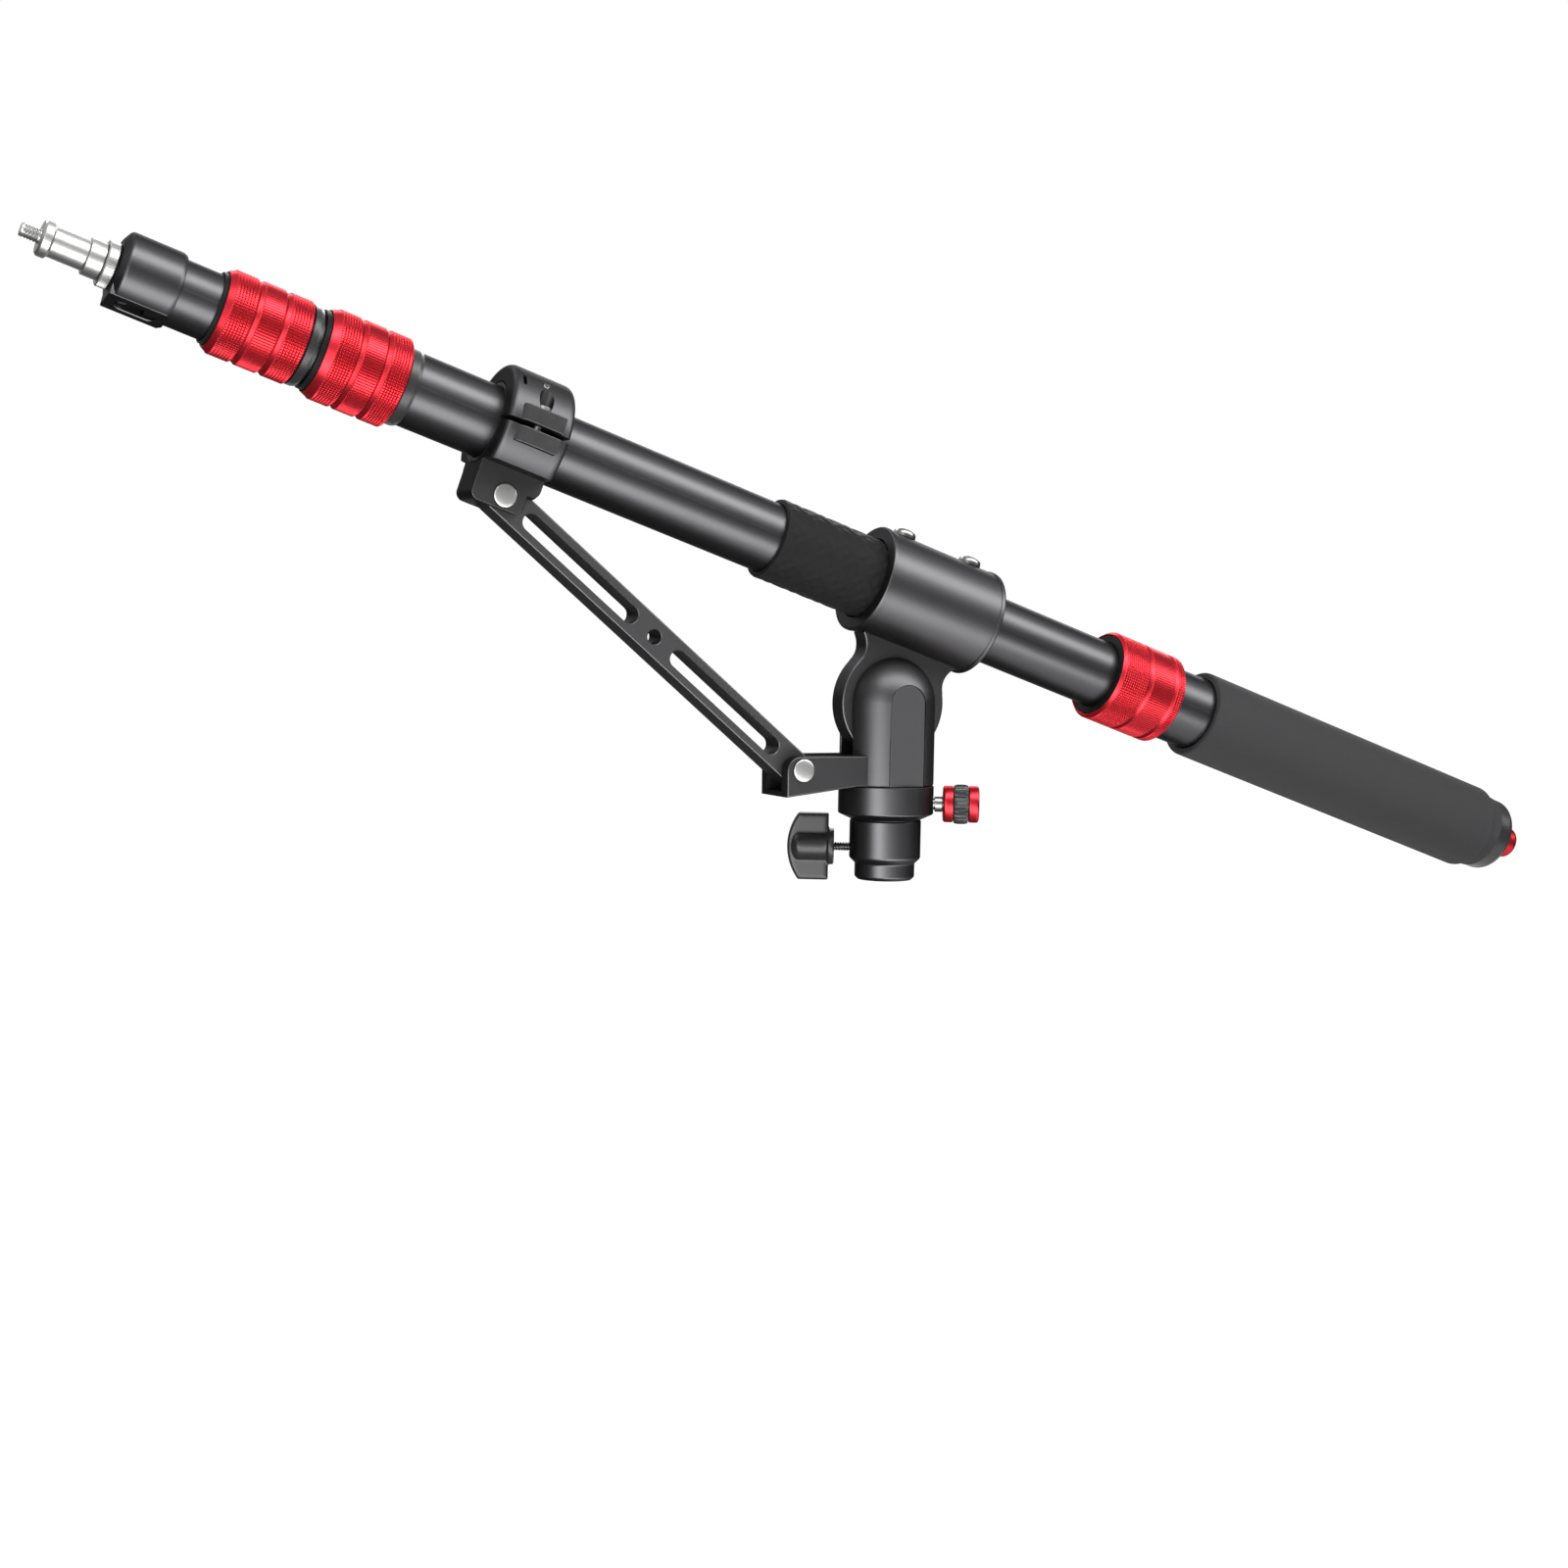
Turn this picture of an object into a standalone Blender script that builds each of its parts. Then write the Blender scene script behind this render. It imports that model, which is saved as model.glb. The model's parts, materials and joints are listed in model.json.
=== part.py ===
"""Telescopic boom arm for a light stand.

A socket head fits a 16 mm stand spigot and pans under a slotted yoke. The yoke carries the
boom's sleeve on a tilt bolt. A strut runs from the yoke's bracket to a split clamp on the
main tube. Two thinner tubes slide out of the front end, and a handle slides over the rear.

Frame: origin in the middle of the socket's bottom rim, +Z up along the pan axis, +X towards
the handle, -Y towards the side with the pan knob. All sizes are in metres.
"""

import math

import bmesh
import bpy
from mathutils import Matrix, Vector

MM = 0.001
TINY = 1e-7                    # points closer than this are one point

# Fits
GAP = 0.3 * MM                 # clearance between neighbouring pieces
TUBE_WALL = 0.75 * MM

# Facets round a large, a middle and a small turned piece
LARGE = 26
MEDIUM = 18
SMALL = 12

# Head: stand socket and pan collar
SPIGOT_BORE_R = 8.15 * MM      # takes the 16 mm stand spigot
SPIGOT_DEPTH = 28.0 * MM
SKIRT_R = 14.7 * MM
SKIRT_HEIGHT = 8.0 * MM
SKIRT_EDGE = 1.5 * MM
SOCKET_R = 17.5 * MM
SOCKET_CHAMFER = 2.6 * MM
SOCKET_TOP = 30.0 * MM
COLLAR_R = 23.4 * MM
COLLAR_CHAMFER = 2.5 * MM
COLLAR_HEIGHT = 16.3 * MM
CUP_FLOOR = 3.0 * MM           # metal between the stand bore and the pan cup
PAN_SPIGOT_R = 13.7 * MM
PAN_GROOVE_DEPTH = 2.0 * MM
PAN_GROOVE_HALF = 2.5 * MM
THRUST_WASHER_R = 20.0 * MM
THRUST_WASHER_HEIGHT = 0.7 * MM

# Knobs on the head
PAN_KNOB_HEIGHT = 37.5 * MM
PAN_KNOB_TURN = -28.0          # degrees from +X
PAN_THREAD_R = 3.0 * MM
PAN_SHOULDER_R = 4.0 * MM
PAN_SHOULDER_LENGTH = 4.0 * MM
PAN_SPINDLE_R = 2.5 * MM
PAN_TIP_R = 0.8 * MM
PAN_TIP_LENGTH = 3.8 * MM
KNOB_RING_R = 9.0 * MM
KNOB_RING_WIDTH = 5.0 * MM
KNOB_GRIP_R = 9.75 * MM
KNOB_GRIP_WIDTH = 7.0 * MM
KNOB_FLUTES = 24
KNOB_FLUTE_DEPTH = 0.6 * MM
KNOB_CAP = 1.6 * MM
KNOB_EDGE = 0.75 * MM
WING_HEIGHT = 15.6 * MM
WING_TURN = 152.0              # degrees from +X
WING_SCREW_R = 2.25 * MM
WING_SCREW_FREE = 7.5 * MM     # bare screw between the socket and the wing's hub
WING_HUB_R = 9.0 * MM
WING_HUB_WIDTH = 3.0 * MM
WING_BARREL_R = 7.4 * MM
WING_SPAN = 33.0 * MM
WING_DEPTH = 20.0 * MM
WING_SHOULDER = 5.5 * MM       # how far the rounded outer side leaves the wing's corners
WING_THICKNESS = 7.0 * MM
WING_ROUNDING = 1.4 * MM
WING_CROWN_DROP = 2.0 * MM     # barrel's crown below the wing's outermost point
WING_CROWN_RISE = 3.7 * MM
WING_SCREW_SHORT = 5.0 * MM    # screw's end below the wing's outermost point

# Yoke, tilt bolt and strut bracket
PIVOT_HEIGHT = 86.5 * MM       # tilt axis above the socket's rim
YOKE_R = 23.2 * MM
TONGUE_THICKNESS = 11.5 * MM
SLOT_DEPTH = 28.2 * MM         # slot floor below the tilt axis
PAD_Y = 21.0 * MM              # flat on each side of the yoke
PAD_HALF = 9.2 * MM
PAD_THICKNESS = 1.2 * MM
TILT_BOLT_R = 5.0 * MM
TILT_HEAD_R = 7.5 * MM
TILT_HEAD_HEIGHT = 4.5 * MM
TILT_NUT_HEIGHT = 5.0 * MM
FRICTION_R = 12.0 * MM
FRICTION_THICKNESS = 1.0 * MM
BRACKET_HALF = 14.5 * MM
BRACKET_REACH = 61.0 * MM      # tip of the bracket in front of the pan axis
BRACKET_TOP = 61.5 * MM
BRACKET_TIP_BOTTOM = 42.0 * MM
BRACKET_CORNER = 7.0 * MM
BRACKET_FLOOR = 2.2 * MM
STRUT_PIVOT_X = -52.6 * MM
STRUT_PIVOT_Z = 54.9 * MM

# Rivets of the strut
RIVET_R = 4.0 * MM
RIVET_HEAD_R = 5.4 * MM
RIVET_HEAD_HEIGHT = 1.1 * MM
RIVET_EDGE = 0.4 * MM          # straight part of the head's side

# Strut
STRUT_LENGTH = 195.6 * MM      # between its two rivets
STRUT_WIDTH = 16.2 * MM
STRUT_THICKNESS = 15.0 * MM
STRUT_SLOT = 8.3 * MM
STRUT_SLOT_INSET = 14.0 * MM   # rivet to the near end of a slot
STRUT_SLOT_LENGTH = 72.0 * MM
STRUT_HOLE_R = 3.5 * MM
STRUT_EDGE = 0.6 * MM

# Boom
TILT = 18.8                    # degrees, front end up, as the arm is drawn
BOOM_RISE = 52.9 * MM          # tube axis above the tilt axis
MAIN_TUBE_R = 17.0 * MM
MAIN_FRONT_REACH = 310.0 * MM  # front end of the main tube from the tilt axis
SLEEVE_R = 26.0 * MM
SLEEVE_RIM = 0.5 * MM
SLEEVE_RIM_WIDTH = 2.5 * MM
SLEEVE_HALF_LENGTH = 33.0 * MM
SLEEVE_SCREW_STEP = 39.0 * MM
SLEEVE_SCREW_R = 2.5 * MM
SLEEVE_SCREW_HEAD_R = 5.75 * MM
SLEEVE_SCREW_HEAD_HEIGHT = 4.0 * MM
SLEEVE_SCREW_CROWN_R = 3.2 * MM
SLEEVE_SCREW_ROUND = 3.0 * MM  # height of the head's rounded side
SLEEVE_SCREW_KEY_R = 2.0 * MM
SLEEVE_SCREW_KEY_DEPTH = 2.4 * MM
SLEEVE_SPOT_DEPTH = 0.6 * MM
TONGUE_DISC_R = 28.0 * MM
TONGUE_NECK_HALF = 23.3 * MM
TONGUE_NECK_RISE = 18.7 * MM
TONGUE_FLARE_HALF = 27.0 * MM
TONGUE_FLANK_RISE = 12.8 * MM  # where the disc passes into the flank
TONGUE_SINK = 5.7 * MM         # how far the flare reaches into the sleeve's wall
WRAP_R = 19.75 * MM
WRAP_LENGTH = 65.5 * MM
WRAP_SEAT = 10.0 * MM          # length of the wrap inside the sleeve

# Clamp that carries the strut
CLAMP_R = 28.35 * MM
CLAMP_LENGTH = 31.1 * MM
CLAMP_EDGE = 4.0 * MM
LINER_THICKNESS = 1.7 * MM
FORK_DROP = 29.8 * MM          # upper rivet below the tube's axis
FORK_BELOW = 6.5 * MM          # fork below its rivet
FORK_BEHIND = 10.3 * MM        # fork behind its rivet
FORK_CHEEK = 3.0 * MM
FORK_WEB = 3.0 * MM
FORK_CORNER = 4.0 * MM
FORK_SHELF = 17.6 * MM         # ring cut back to the cheeks' faces below this depth
PINCH_FACE = 30.6 * MM         # flat of the split's lugs from the tube's axis
PINCH_RISE = 9.5 * MM
PINCH_FALL = 8.0 * MM
PINCH_LENGTH = 20.0 * MM
PINCH_GAP = 2.4 * MM
PINCH_GAP_RISE = 0.7 * MM
PINCH_SCREW_Y = -24.0 * MM
PINCH_SCREW_R = 2.0 * MM
PINCH_HEAD_R = 3.3 * MM
PINCH_HEAD_HEIGHT = 3.5 * MM
PINCH_SEAT = 7.6 * MM          # screw head's seat above the tube's axis
PINCH_KEY_R = 1.4 * MM
PINCH_KEY_DEPTH = 1.9 * MM
SET_SCREW_R = 1.5 * MM
SET_SCREW_LENGTH = 4.0 * MM
SET_SCREW_TURN = 39.0          # degrees from the top towards -Y

# Twist-lock collars: ridge shares follow each other from the front
COLLAR_1 = {"radius": 19.1 * MM, "length": 38.4 * MM, "groove_depth": 0.85 * MM, "groove": 3.3 * MM,
            "nose_r": 16.2 * MM, "nose": 1.9 * MM, "bore_r": 17.5 * MM, "lead": 16.4 * MM,
            "chamfer": 3.0 * MM, "front_drop": 1.7 * MM, "ridges": (1, 1, 1)}
COLLAR_2 = {"radius": 20.8 * MM, "length": 38.0 * MM, "groove_depth": 0.95 * MM, "groove": 3.2 * MM,
            "nose_r": 18.2 * MM, "nose": 2.5 * MM, "bore_r": 18.5 * MM, "lead": 11.0 * MM,
            "chamfer": 4.0 * MM, "front_drop": 1.7 * MM, "ridges": (1, 1, 1)}
COLLAR_3 = {"radius": 23.1 * MM, "length": 40.0 * MM, "groove_depth": 0.7 * MM, "groove": 2.9 * MM,
            "nose_r": 20.8 * MM, "nose": 0.0 * MM, "bore_r": 19.15 * MM, "lead": 7.8 * MM,
            "chamfer": 1.8 * MM, "front_drop": 1.2 * MM, "ridges": (14.8, 12.5, 3.8)}
GROOVE_FRONT_SHARE = 0.4       # part of a V groove's width in front of its deepest line
MOUTH_DEPTH = 2.0 * MM
FERRULE_LIP = 2.0 * MM
FERRULE_1_SHOULDER_R = 18.45 * MM
FERRULE_1_SHOULDER = 4.2 * MM
FERRULE_2_SHOULDER_R = 18.2 * MM
FERRULE_2_SHOULDER = 5.3 * MM
FERRULE_CHAMFER = 1.7 * MM
COLLAR_SPACE = 1.2 * MM        # rest gap between ferrule 1 and the bush of collar 2

# Inner tubes and their end plugs
MID_STOP = 104.0 * MM          # mid tube's rear end in front of the main tube's
FRONT_STOP = 50.0 * MM         # front tube's rear end in front of the mid tube's
PLUG_FLANGE = 2.0 * MM
PLUG_LENGTH = 12.0 * MM

# Front end
FRONT_TUBE_SHOWN = 16.7 * MM   # between collar 1 and the end hub
HUB_R = 17.0 * MM
HUB_LENGTH = 26.5 * MM
HUB_FRONT_R = 12.5 * MM
HUB_FRONT_CHAMFER = 2.5 * MM
HUB_REAR_CHAMFER = 1.6 * MM
HUB_SOCKET = 10.0 * MM         # length of the front tube inside the hub
HUB_FLAT = 15.6 * MM           # facet from the hub's axis
HUB_FLAT_HALF = 7.5 * MM
HUB_FLAT_TURN = 17.0           # degrees from straight down towards -Y
HUB_SLOT_LENGTH = 18.0 * MM
HUB_SLOT_WIDTH = 7.0 * MM
HUB_SLOT_DEPTH = 4.0 * MM
HUB_SCREW_R = 2.4 * MM
HUB_SCREW_FROM_FRONT = 7.0 * MM
STUD_TAIL_R = 5.0 * MM
STUD_TAIL = 12.0 * MM
RING_R = 10.25 * MM
RING_WIDTH = 4.8 * MM
STUD_BASE_R = 8.2 * MM
STUD_BASE = 7.1 * MM
STUD_NECK_R = 6.75 * MM
STUD_NECK = 14.4 * MM
STUD_FLANGE_R = 8.0 * MM
STUD_FLANGE = 5.1 * MM
STUD_CHAMFER = 1.0 * MM
STUD_THREAD_R = 3.175 * MM     # 1/4 inch thread
STUD_THREAD = 8.2 * MM

# Handle
HANDLE_FRONT = 110.0 * MM      # front of collar 3 from the tilt axis
HANDLE_TUBE_R = 18.85 * MM
HANDLE_TUBE_SHOWN = 22.5 * MM
FOAM_R = 22.6 * MM
FOAM_LENGTH = 204.0 * MM
FOAM_TAIL = 8.8 * MM
FOAM_TAIL_R = 20.0 * MM
FOAM_EDGE = 2.5 * MM
CAP_R = 19.65 * MM
CAP_SKIRT = 6.7 * MM
CAP_DOME = 6.0 * MM
CAP_FACE_R = 11.0 * MM
CAP_SEAT = 3.0 * MM            # handle tube inside the cap's skirt
CAP_SHANK = 4.3 * MM
CAP_SPACE = 11.0 * MM          # rear end of the main tube in front of the cap's shank
END_PLUG_R = 8.5 * MM
END_PLUG_LENGTH = 11.0 * MM
END_PLUG_STEM_R = 4.0 * MM
END_PLUG_STEM = 6.0 * MM


# Colours of the finishes: base colour, roughness and metallic value
FINISHES = {
    "black_anodised": ((0.022, 0.022, 0.024), 0.36, 0.75),
    "black_paint": ((0.03, 0.03, 0.032), 0.45, 0.0),
    "black_plastic": ((0.025, 0.025, 0.026), 0.4, 0.0),
    "white_nylon": ((0.7, 0.69, 0.65), 0.5, 0.0),
    "red_anodised": ((0.62, 0.03, 0.05), 0.3, 0.9),
    "bright_steel": ((0.75, 0.75, 0.74), 0.25, 1.0),
    "rubber": ((0.02, 0.02, 0.021), 0.75, 0.0),
    "foam": ((0.045, 0.045, 0.047), 0.85, 0.0),
}


def clear_scene():
    for obj in list(bpy.data.objects):
        bpy.data.objects.remove(obj)


def finish(name):
    """Return the material of a finish, made on its first use."""
    if name in bpy.data.materials:
        return bpy.data.materials[name]
    colour, roughness, metallic = FINISHES[name]
    material = bpy.data.materials.new(name)
    material.use_nodes = True
    shader = material.node_tree.nodes["Principled BSDF"]
    shader.inputs["Base Color"].default_value = (*colour, 1.0)
    shader.inputs["Roughness"].default_value = roughness
    shader.inputs["Metallic"].default_value = metallic
    return material


def empty(name, location=(0, 0, 0), turn=(0, 0, 0), parent=None):
    """Mark an axis or a pivot. The turn is in degrees."""
    marker = bpy.data.objects.new(name, None)
    bpy.context.scene.collection.objects.link(marker)
    marker.location = location
    marker.rotation_euler = [math.radians(angle) for angle in turn]
    marker.parent = parent
    return marker


def add(name, bm, parent, material):
    """Turn a bmesh into an object under its axis."""
    bmesh.ops.recalc_face_normals(bm, faces=bm.faces)
    mesh = bpy.data.meshes.new(name)
    bm.to_mesh(mesh)
    bm.free()
    obj = bpy.data.objects.new(name, mesh)
    bpy.context.scene.collection.objects.link(obj)
    obj.parent = parent
    mesh.materials.append(finish(material))
    mesh.shade_smooth()
    mesh.set_sharp_from_angle(angle=math.radians(32))
    return obj


def shape(obj, operation, tools):
    """Cut the tools out of an object or join them to it. Tools are bmeshes in its own frame."""
    helpers = []
    for tool in tools:
        bmesh.ops.recalc_face_normals(tool, faces=tool.faces)
        mesh = bpy.data.meshes.new("tool")
        tool.to_mesh(mesh)
        tool.free()
        helper = bpy.data.objects.new("tool", mesh)
        bpy.context.scene.collection.objects.link(helper)
        helper.parent = obj.parent
        helper.hide_render = True
        helper.display_type = "WIRE"
        helpers.append(helper)
        boolean = obj.modifiers.new("tool", "BOOLEAN")
        boolean.operation = operation
        boolean.solver = "EXACT"
        boolean.object = helper
    bpy.context.view_layer.update()
    graph = bpy.context.evaluated_depsgraph_get()
    mesh = bpy.data.meshes.new_from_object(obj.evaluated_get(graph))
    obj.modifiers.clear()
    obj.data = mesh
    for helper in helpers:
        bpy.data.objects.remove(helper)
    mesh.shade_smooth()
    mesh.set_sharp_from_angle(angle=math.radians(32))
    return obj


def turned(profile, steps):
    """Spin a profile of (radius, height) points round Z. A profile off the axis is a closed ring."""
    points = [p for i, p in enumerate(profile) if i == 0 or math.dist(p, profile[i - 1]) > TINY]
    points = [(0 if radius < TINY else radius, height) for radius, height in points]
    bm = bmesh.new()
    verts = [bm.verts.new((radius, 0, height)) for radius, height in points]
    edges = [bm.edges.new(pair) for pair in zip(verts, verts[1:])]
    if points[0][0] > 0 or points[-1][0] > 0:
        edges.append(bm.edges.new((verts[-1], verts[0])))
    bmesh.ops.spin(bm, geom=verts + edges, cent=(0, 0, 0), axis=(0, 0, 1),
                   angle=2 * math.pi, steps=steps, use_merge=True)
    bmesh.ops.remove_doubles(bm, verts=bm.verts, dist=TINY)
    return bm


def ring(inner, outer, bottom, top, steps):
    return turned([(outer, top), (outer, bottom), (inner, bottom), (inner, top)], steps)


def rod(radius, bottom, top, steps):
    return turned([(0, top), (radius, top), (radius, bottom), (0, bottom)], steps)


def plate(outline, low, high):
    """Extrude an outline of (x, z) points along Y."""
    bm = bmesh.new()
    face = bm.faces.new([bm.verts.new((x, low, z)) for x, z in outline])
    extruded = bmesh.ops.extrude_face_region(bm, geom=[face])["geom"]
    far_side = [item for item in extruded if isinstance(item, bmesh.types.BMVert)]
    bmesh.ops.translate(bm, verts=far_side, vec=(0, high - low, 0))
    return bm


def block(low, high):
    """A box between two corners."""
    bm = bmesh.new()
    middle = (Vector(low) + Vector(high)) / 2
    size = Vector(high) - Vector(low)
    bmesh.ops.create_cube(bm, size=1, matrix=Matrix.Translation(middle) @ Matrix.Diagonal((*size, 1)))
    return bm


def moved(bm, matrix):
    bmesh.ops.transform(bm, matrix=matrix, verts=bm.verts)
    return bm


def along_y(bm, x=0.0, z=0.0):
    """Lay a piece turned round Z along +Y, through (x, z)."""
    return moved(bm, Matrix.Translation((x, 0, z)) @ Matrix.Rotation(math.radians(-90), 4, "X"))


def arc(cx, cz, radius, start, end, count):
    """Points on an arc. The angles are in degrees."""
    angles = [math.radians(start + (end - start) * i / count) for i in range(count + 1)]
    return [(cx + radius * math.cos(a), cz + radius * math.sin(a)) for a in angles]


def oblong(half_length, radius, cx, cz, count=6):
    """A slot's outline along X, with round ends."""
    right = arc(cx + half_length - radius, cz, radius, -90, 90, count)
    left = arc(cx - half_length + radius, cz, radius, 90, 270, count)
    return right + left


# Heights and radii that follow from the driving sizes
COLLAR_TOP = SOCKET_TOP + COLLAR_HEIGHT
CUP_BOTTOM = SPIGOT_DEPTH + CUP_FLOOR
YOKE_BOTTOM = COLLAR_TOP + GAP
SLOT_HALF = TONGUE_THICKNESS / 2 + GAP
FORK_HALF = STRUT_THICKNESS / 2 + GAP
MAIN_BORE_R = MAIN_TUBE_R - TUBE_WALL
MID_TUBE_R = MAIN_BORE_R - GAP
MID_BORE_R = MID_TUBE_R - TUBE_WALL
FRONT_TUBE_R = MID_BORE_R - GAP
FRONT_BORE_R = FRONT_TUBE_R - TUBE_WALL
HANDLE_BORE_R = MAIN_TUBE_R + GAP

# Stations along the boom, from the tilt axis towards the handle
COLLAR_2_FRONT = -MAIN_FRONT_REACH - COLLAR_2["lead"]
FERRULE_1_REAR = COLLAR_2_FRONT - COLLAR_2["nose"] - COLLAR_SPACE
COLLAR_1_REAR = FERRULE_1_REAR - FERRULE_1_SHOULDER - GAP
COLLAR_1_FRONT = COLLAR_1_REAR - COLLAR_1["length"]
MID_TUBE_FRONT = COLLAR_1_FRONT + COLLAR_1["lead"]
HUB_REAR = COLLAR_1_FRONT - COLLAR_1["nose"] - FRONT_TUBE_SHOWN
HUB_FRONT = HUB_REAR - HUB_LENGTH
HANDLE_TUBE_FRONT = HANDLE_FRONT + COLLAR_3["lead"]
COLLAR_3_REAR = HANDLE_FRONT + COLLAR_3["length"]
FOAM_FRONT = COLLAR_3_REAR + HANDLE_TUBE_SHOWN
FOAM_REAR = FOAM_FRONT + FOAM_LENGTH
CAP_FRONT = FOAM_REAR + 2 * GAP
HANDLE_TUBE_REAR = CAP_FRONT + CAP_SEAT
MAIN_TUBE_REAR = HANDLE_TUBE_REAR - CAP_SHANK - CAP_SPACE
MID_TUBE_REAR = MAIN_TUBE_REAR - MID_STOP
FRONT_TUBE_REAR = MID_TUBE_REAR - FRONT_STOP


def clamp_station():
    """Where the strut's length holds the clamp along the boom at this tilt."""
    angle = math.radians(TILT)
    x = STRUT_PIVOT_X
    z = STRUT_PIVOT_Z - PIVOT_HEIGHT
    along = x * math.cos(angle) - z * math.sin(angle)
    above = x * math.sin(angle) + z * math.cos(angle)
    climb = BOOM_RISE - FORK_DROP - above
    return along - math.sqrt(STRUT_LENGTH ** 2 - climb ** 2)


def build_socket(base):
    """Socket for the stand's spigot below, cup for the yoke's spigot above, in one casting."""
    floor = COLLAR_TOP - THRUST_WASHER_HEIGHT - GAP
    cup_r = PAN_SPIGOT_R + GAP
    edge = SKIRT_EDGE
    profile = [
        (COLLAR_R - edge / 3, COLLAR_TOP), (COLLAR_R, COLLAR_TOP - edge / 3),
        (COLLAR_R, SOCKET_TOP + COLLAR_CHAMFER), (SOCKET_R + edge / 3, SOCKET_TOP),
        (SOCKET_R - edge / 4, SOCKET_TOP - edge / 4), (SOCKET_R, SOCKET_TOP - edge),
        (SOCKET_R, SKIRT_HEIGHT + SOCKET_CHAMFER), (SKIRT_R, SKIRT_HEIGHT),
        (SKIRT_R, edge), (SKIRT_R - edge, 0),
        (SPIGOT_BORE_R + edge / 2, 0), (SPIGOT_BORE_R, edge / 2),
        (SPIGOT_BORE_R, SPIGOT_DEPTH), (0, SPIGOT_DEPTH),
    ]
    bm = turned([(0, COLLAR_TOP)] + profile, LARGE)
    body = add("socket_body", bm, base, "black_anodised")
    cup = turned([(0, COLLAR_TOP + GAP), (THRUST_WASHER_R + GAP, COLLAR_TOP + GAP),
                  (THRUST_WASHER_R + GAP, floor), (cup_r, floor), (cup_r, CUP_BOTTOM),
                  (0, CUP_BOTTOM)], LARGE)
    pan_hole = knob_matrix(PAN_KNOB_HEIGHT, PAN_KNOB_TURN)
    wing_hole = knob_matrix(WING_HEIGHT, WING_TURN)
    holes = [
        cup,
        moved(rod(PAN_THREAD_R + GAP, PAN_SPIGOT_R / 2, COLLAR_R + GAP, SMALL), pan_hole),
        moved(rod(WING_SCREW_R + GAP, SPIGOT_BORE_R / 2, SOCKET_R + GAP, SMALL), wing_hole),
    ]
    shape(body, "DIFFERENCE", holes)
    washer = ring(cup_r, THRUST_WASHER_R, COLLAR_TOP - THRUST_WASHER_HEIGHT, COLLAR_TOP, LARGE)
    add("pan_thrust_washer", washer, base, "white_nylon")


def knob_matrix(height, turn):
    """Lay a turned piece level, pointing out of the head at this height and bearing."""
    level = Matrix.Rotation(math.radians(90), 4, "Y")
    return Matrix.Translation((0, 0, height)) @ Matrix.Rotation(math.radians(turn), 4, "Z") @ level


def build_pan_knob(base):
    """Screw whose tip rides in the groove of the yoke's spigot, with its three-part knob."""
    axis = empty("pan_knob_axis", (0, 0, PAN_KNOB_HEIGHT), (0, 90, PAN_KNOB_TURN), base)
    tip = PAN_SPIGOT_R - PAN_GROOVE_DEPTH + 2 * GAP
    shoulder = COLLAR_R + 2 * GAP
    knob = shoulder + PAN_SHOULDER_LENGTH
    grip = knob + KNOB_RING_WIDTH + GAP
    cap = grip + KNOB_GRIP_WIDTH + GAP
    end = cap + KNOB_RING_WIDTH
    bore = PAN_SPINDLE_R + GAP
    edge = KNOB_EDGE
    screw = turned([(0, end - KNOB_CAP - GAP), (PAN_SPINDLE_R, end - KNOB_CAP - GAP),
                    (PAN_SPINDLE_R, knob - GAP), (PAN_SHOULDER_R, knob - GAP),
                    (PAN_SHOULDER_R, shoulder), (PAN_THREAD_R, shoulder),
                    (PAN_THREAD_R, tip + PAN_TIP_LENGTH), (PAN_TIP_R, tip), (0, tip)], SMALL)
    add("pan_screw", screw, axis, "bright_steel")
    inner = turned([(KNOB_RING_R - edge, grip - GAP), (KNOB_RING_R, grip - GAP - edge),
                    (KNOB_RING_R, knob + edge), (KNOB_RING_R - edge, knob),
                    (bore, knob), (bore, grip - GAP)], MEDIUM)
    add("pan_knob_inner_ring", inner, axis, "red_anodised")
    outer = turned([(0, end), (KNOB_RING_R - edge, end), (KNOB_RING_R, end - edge),
                    (KNOB_RING_R, cap + edge), (KNOB_RING_R - edge, cap), (bore, cap),
                    (bore, end - KNOB_CAP), (0, end - KNOB_CAP)], MEDIUM)
    add("pan_knob_outer_ring", outer, axis, "red_anodised")
    flutes = []
    for i in range(2 * KNOB_FLUTES):
        radius = KNOB_GRIP_R - KNOB_FLUTE_DEPTH * (i % 2)
        angle = math.pi * i / KNOB_FLUTES
        flutes.append((radius * math.cos(angle), radius * math.sin(angle)))
    body = moved(plate(flutes, -cap + GAP, -grip), Matrix.Rotation(math.radians(-90), 4, "X"))
    body = add("pan_knob_grip", body, axis, "black_plastic")
    shape(body, "DIFFERENCE", [rod(bore, grip - GAP, cap, SMALL)])


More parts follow.
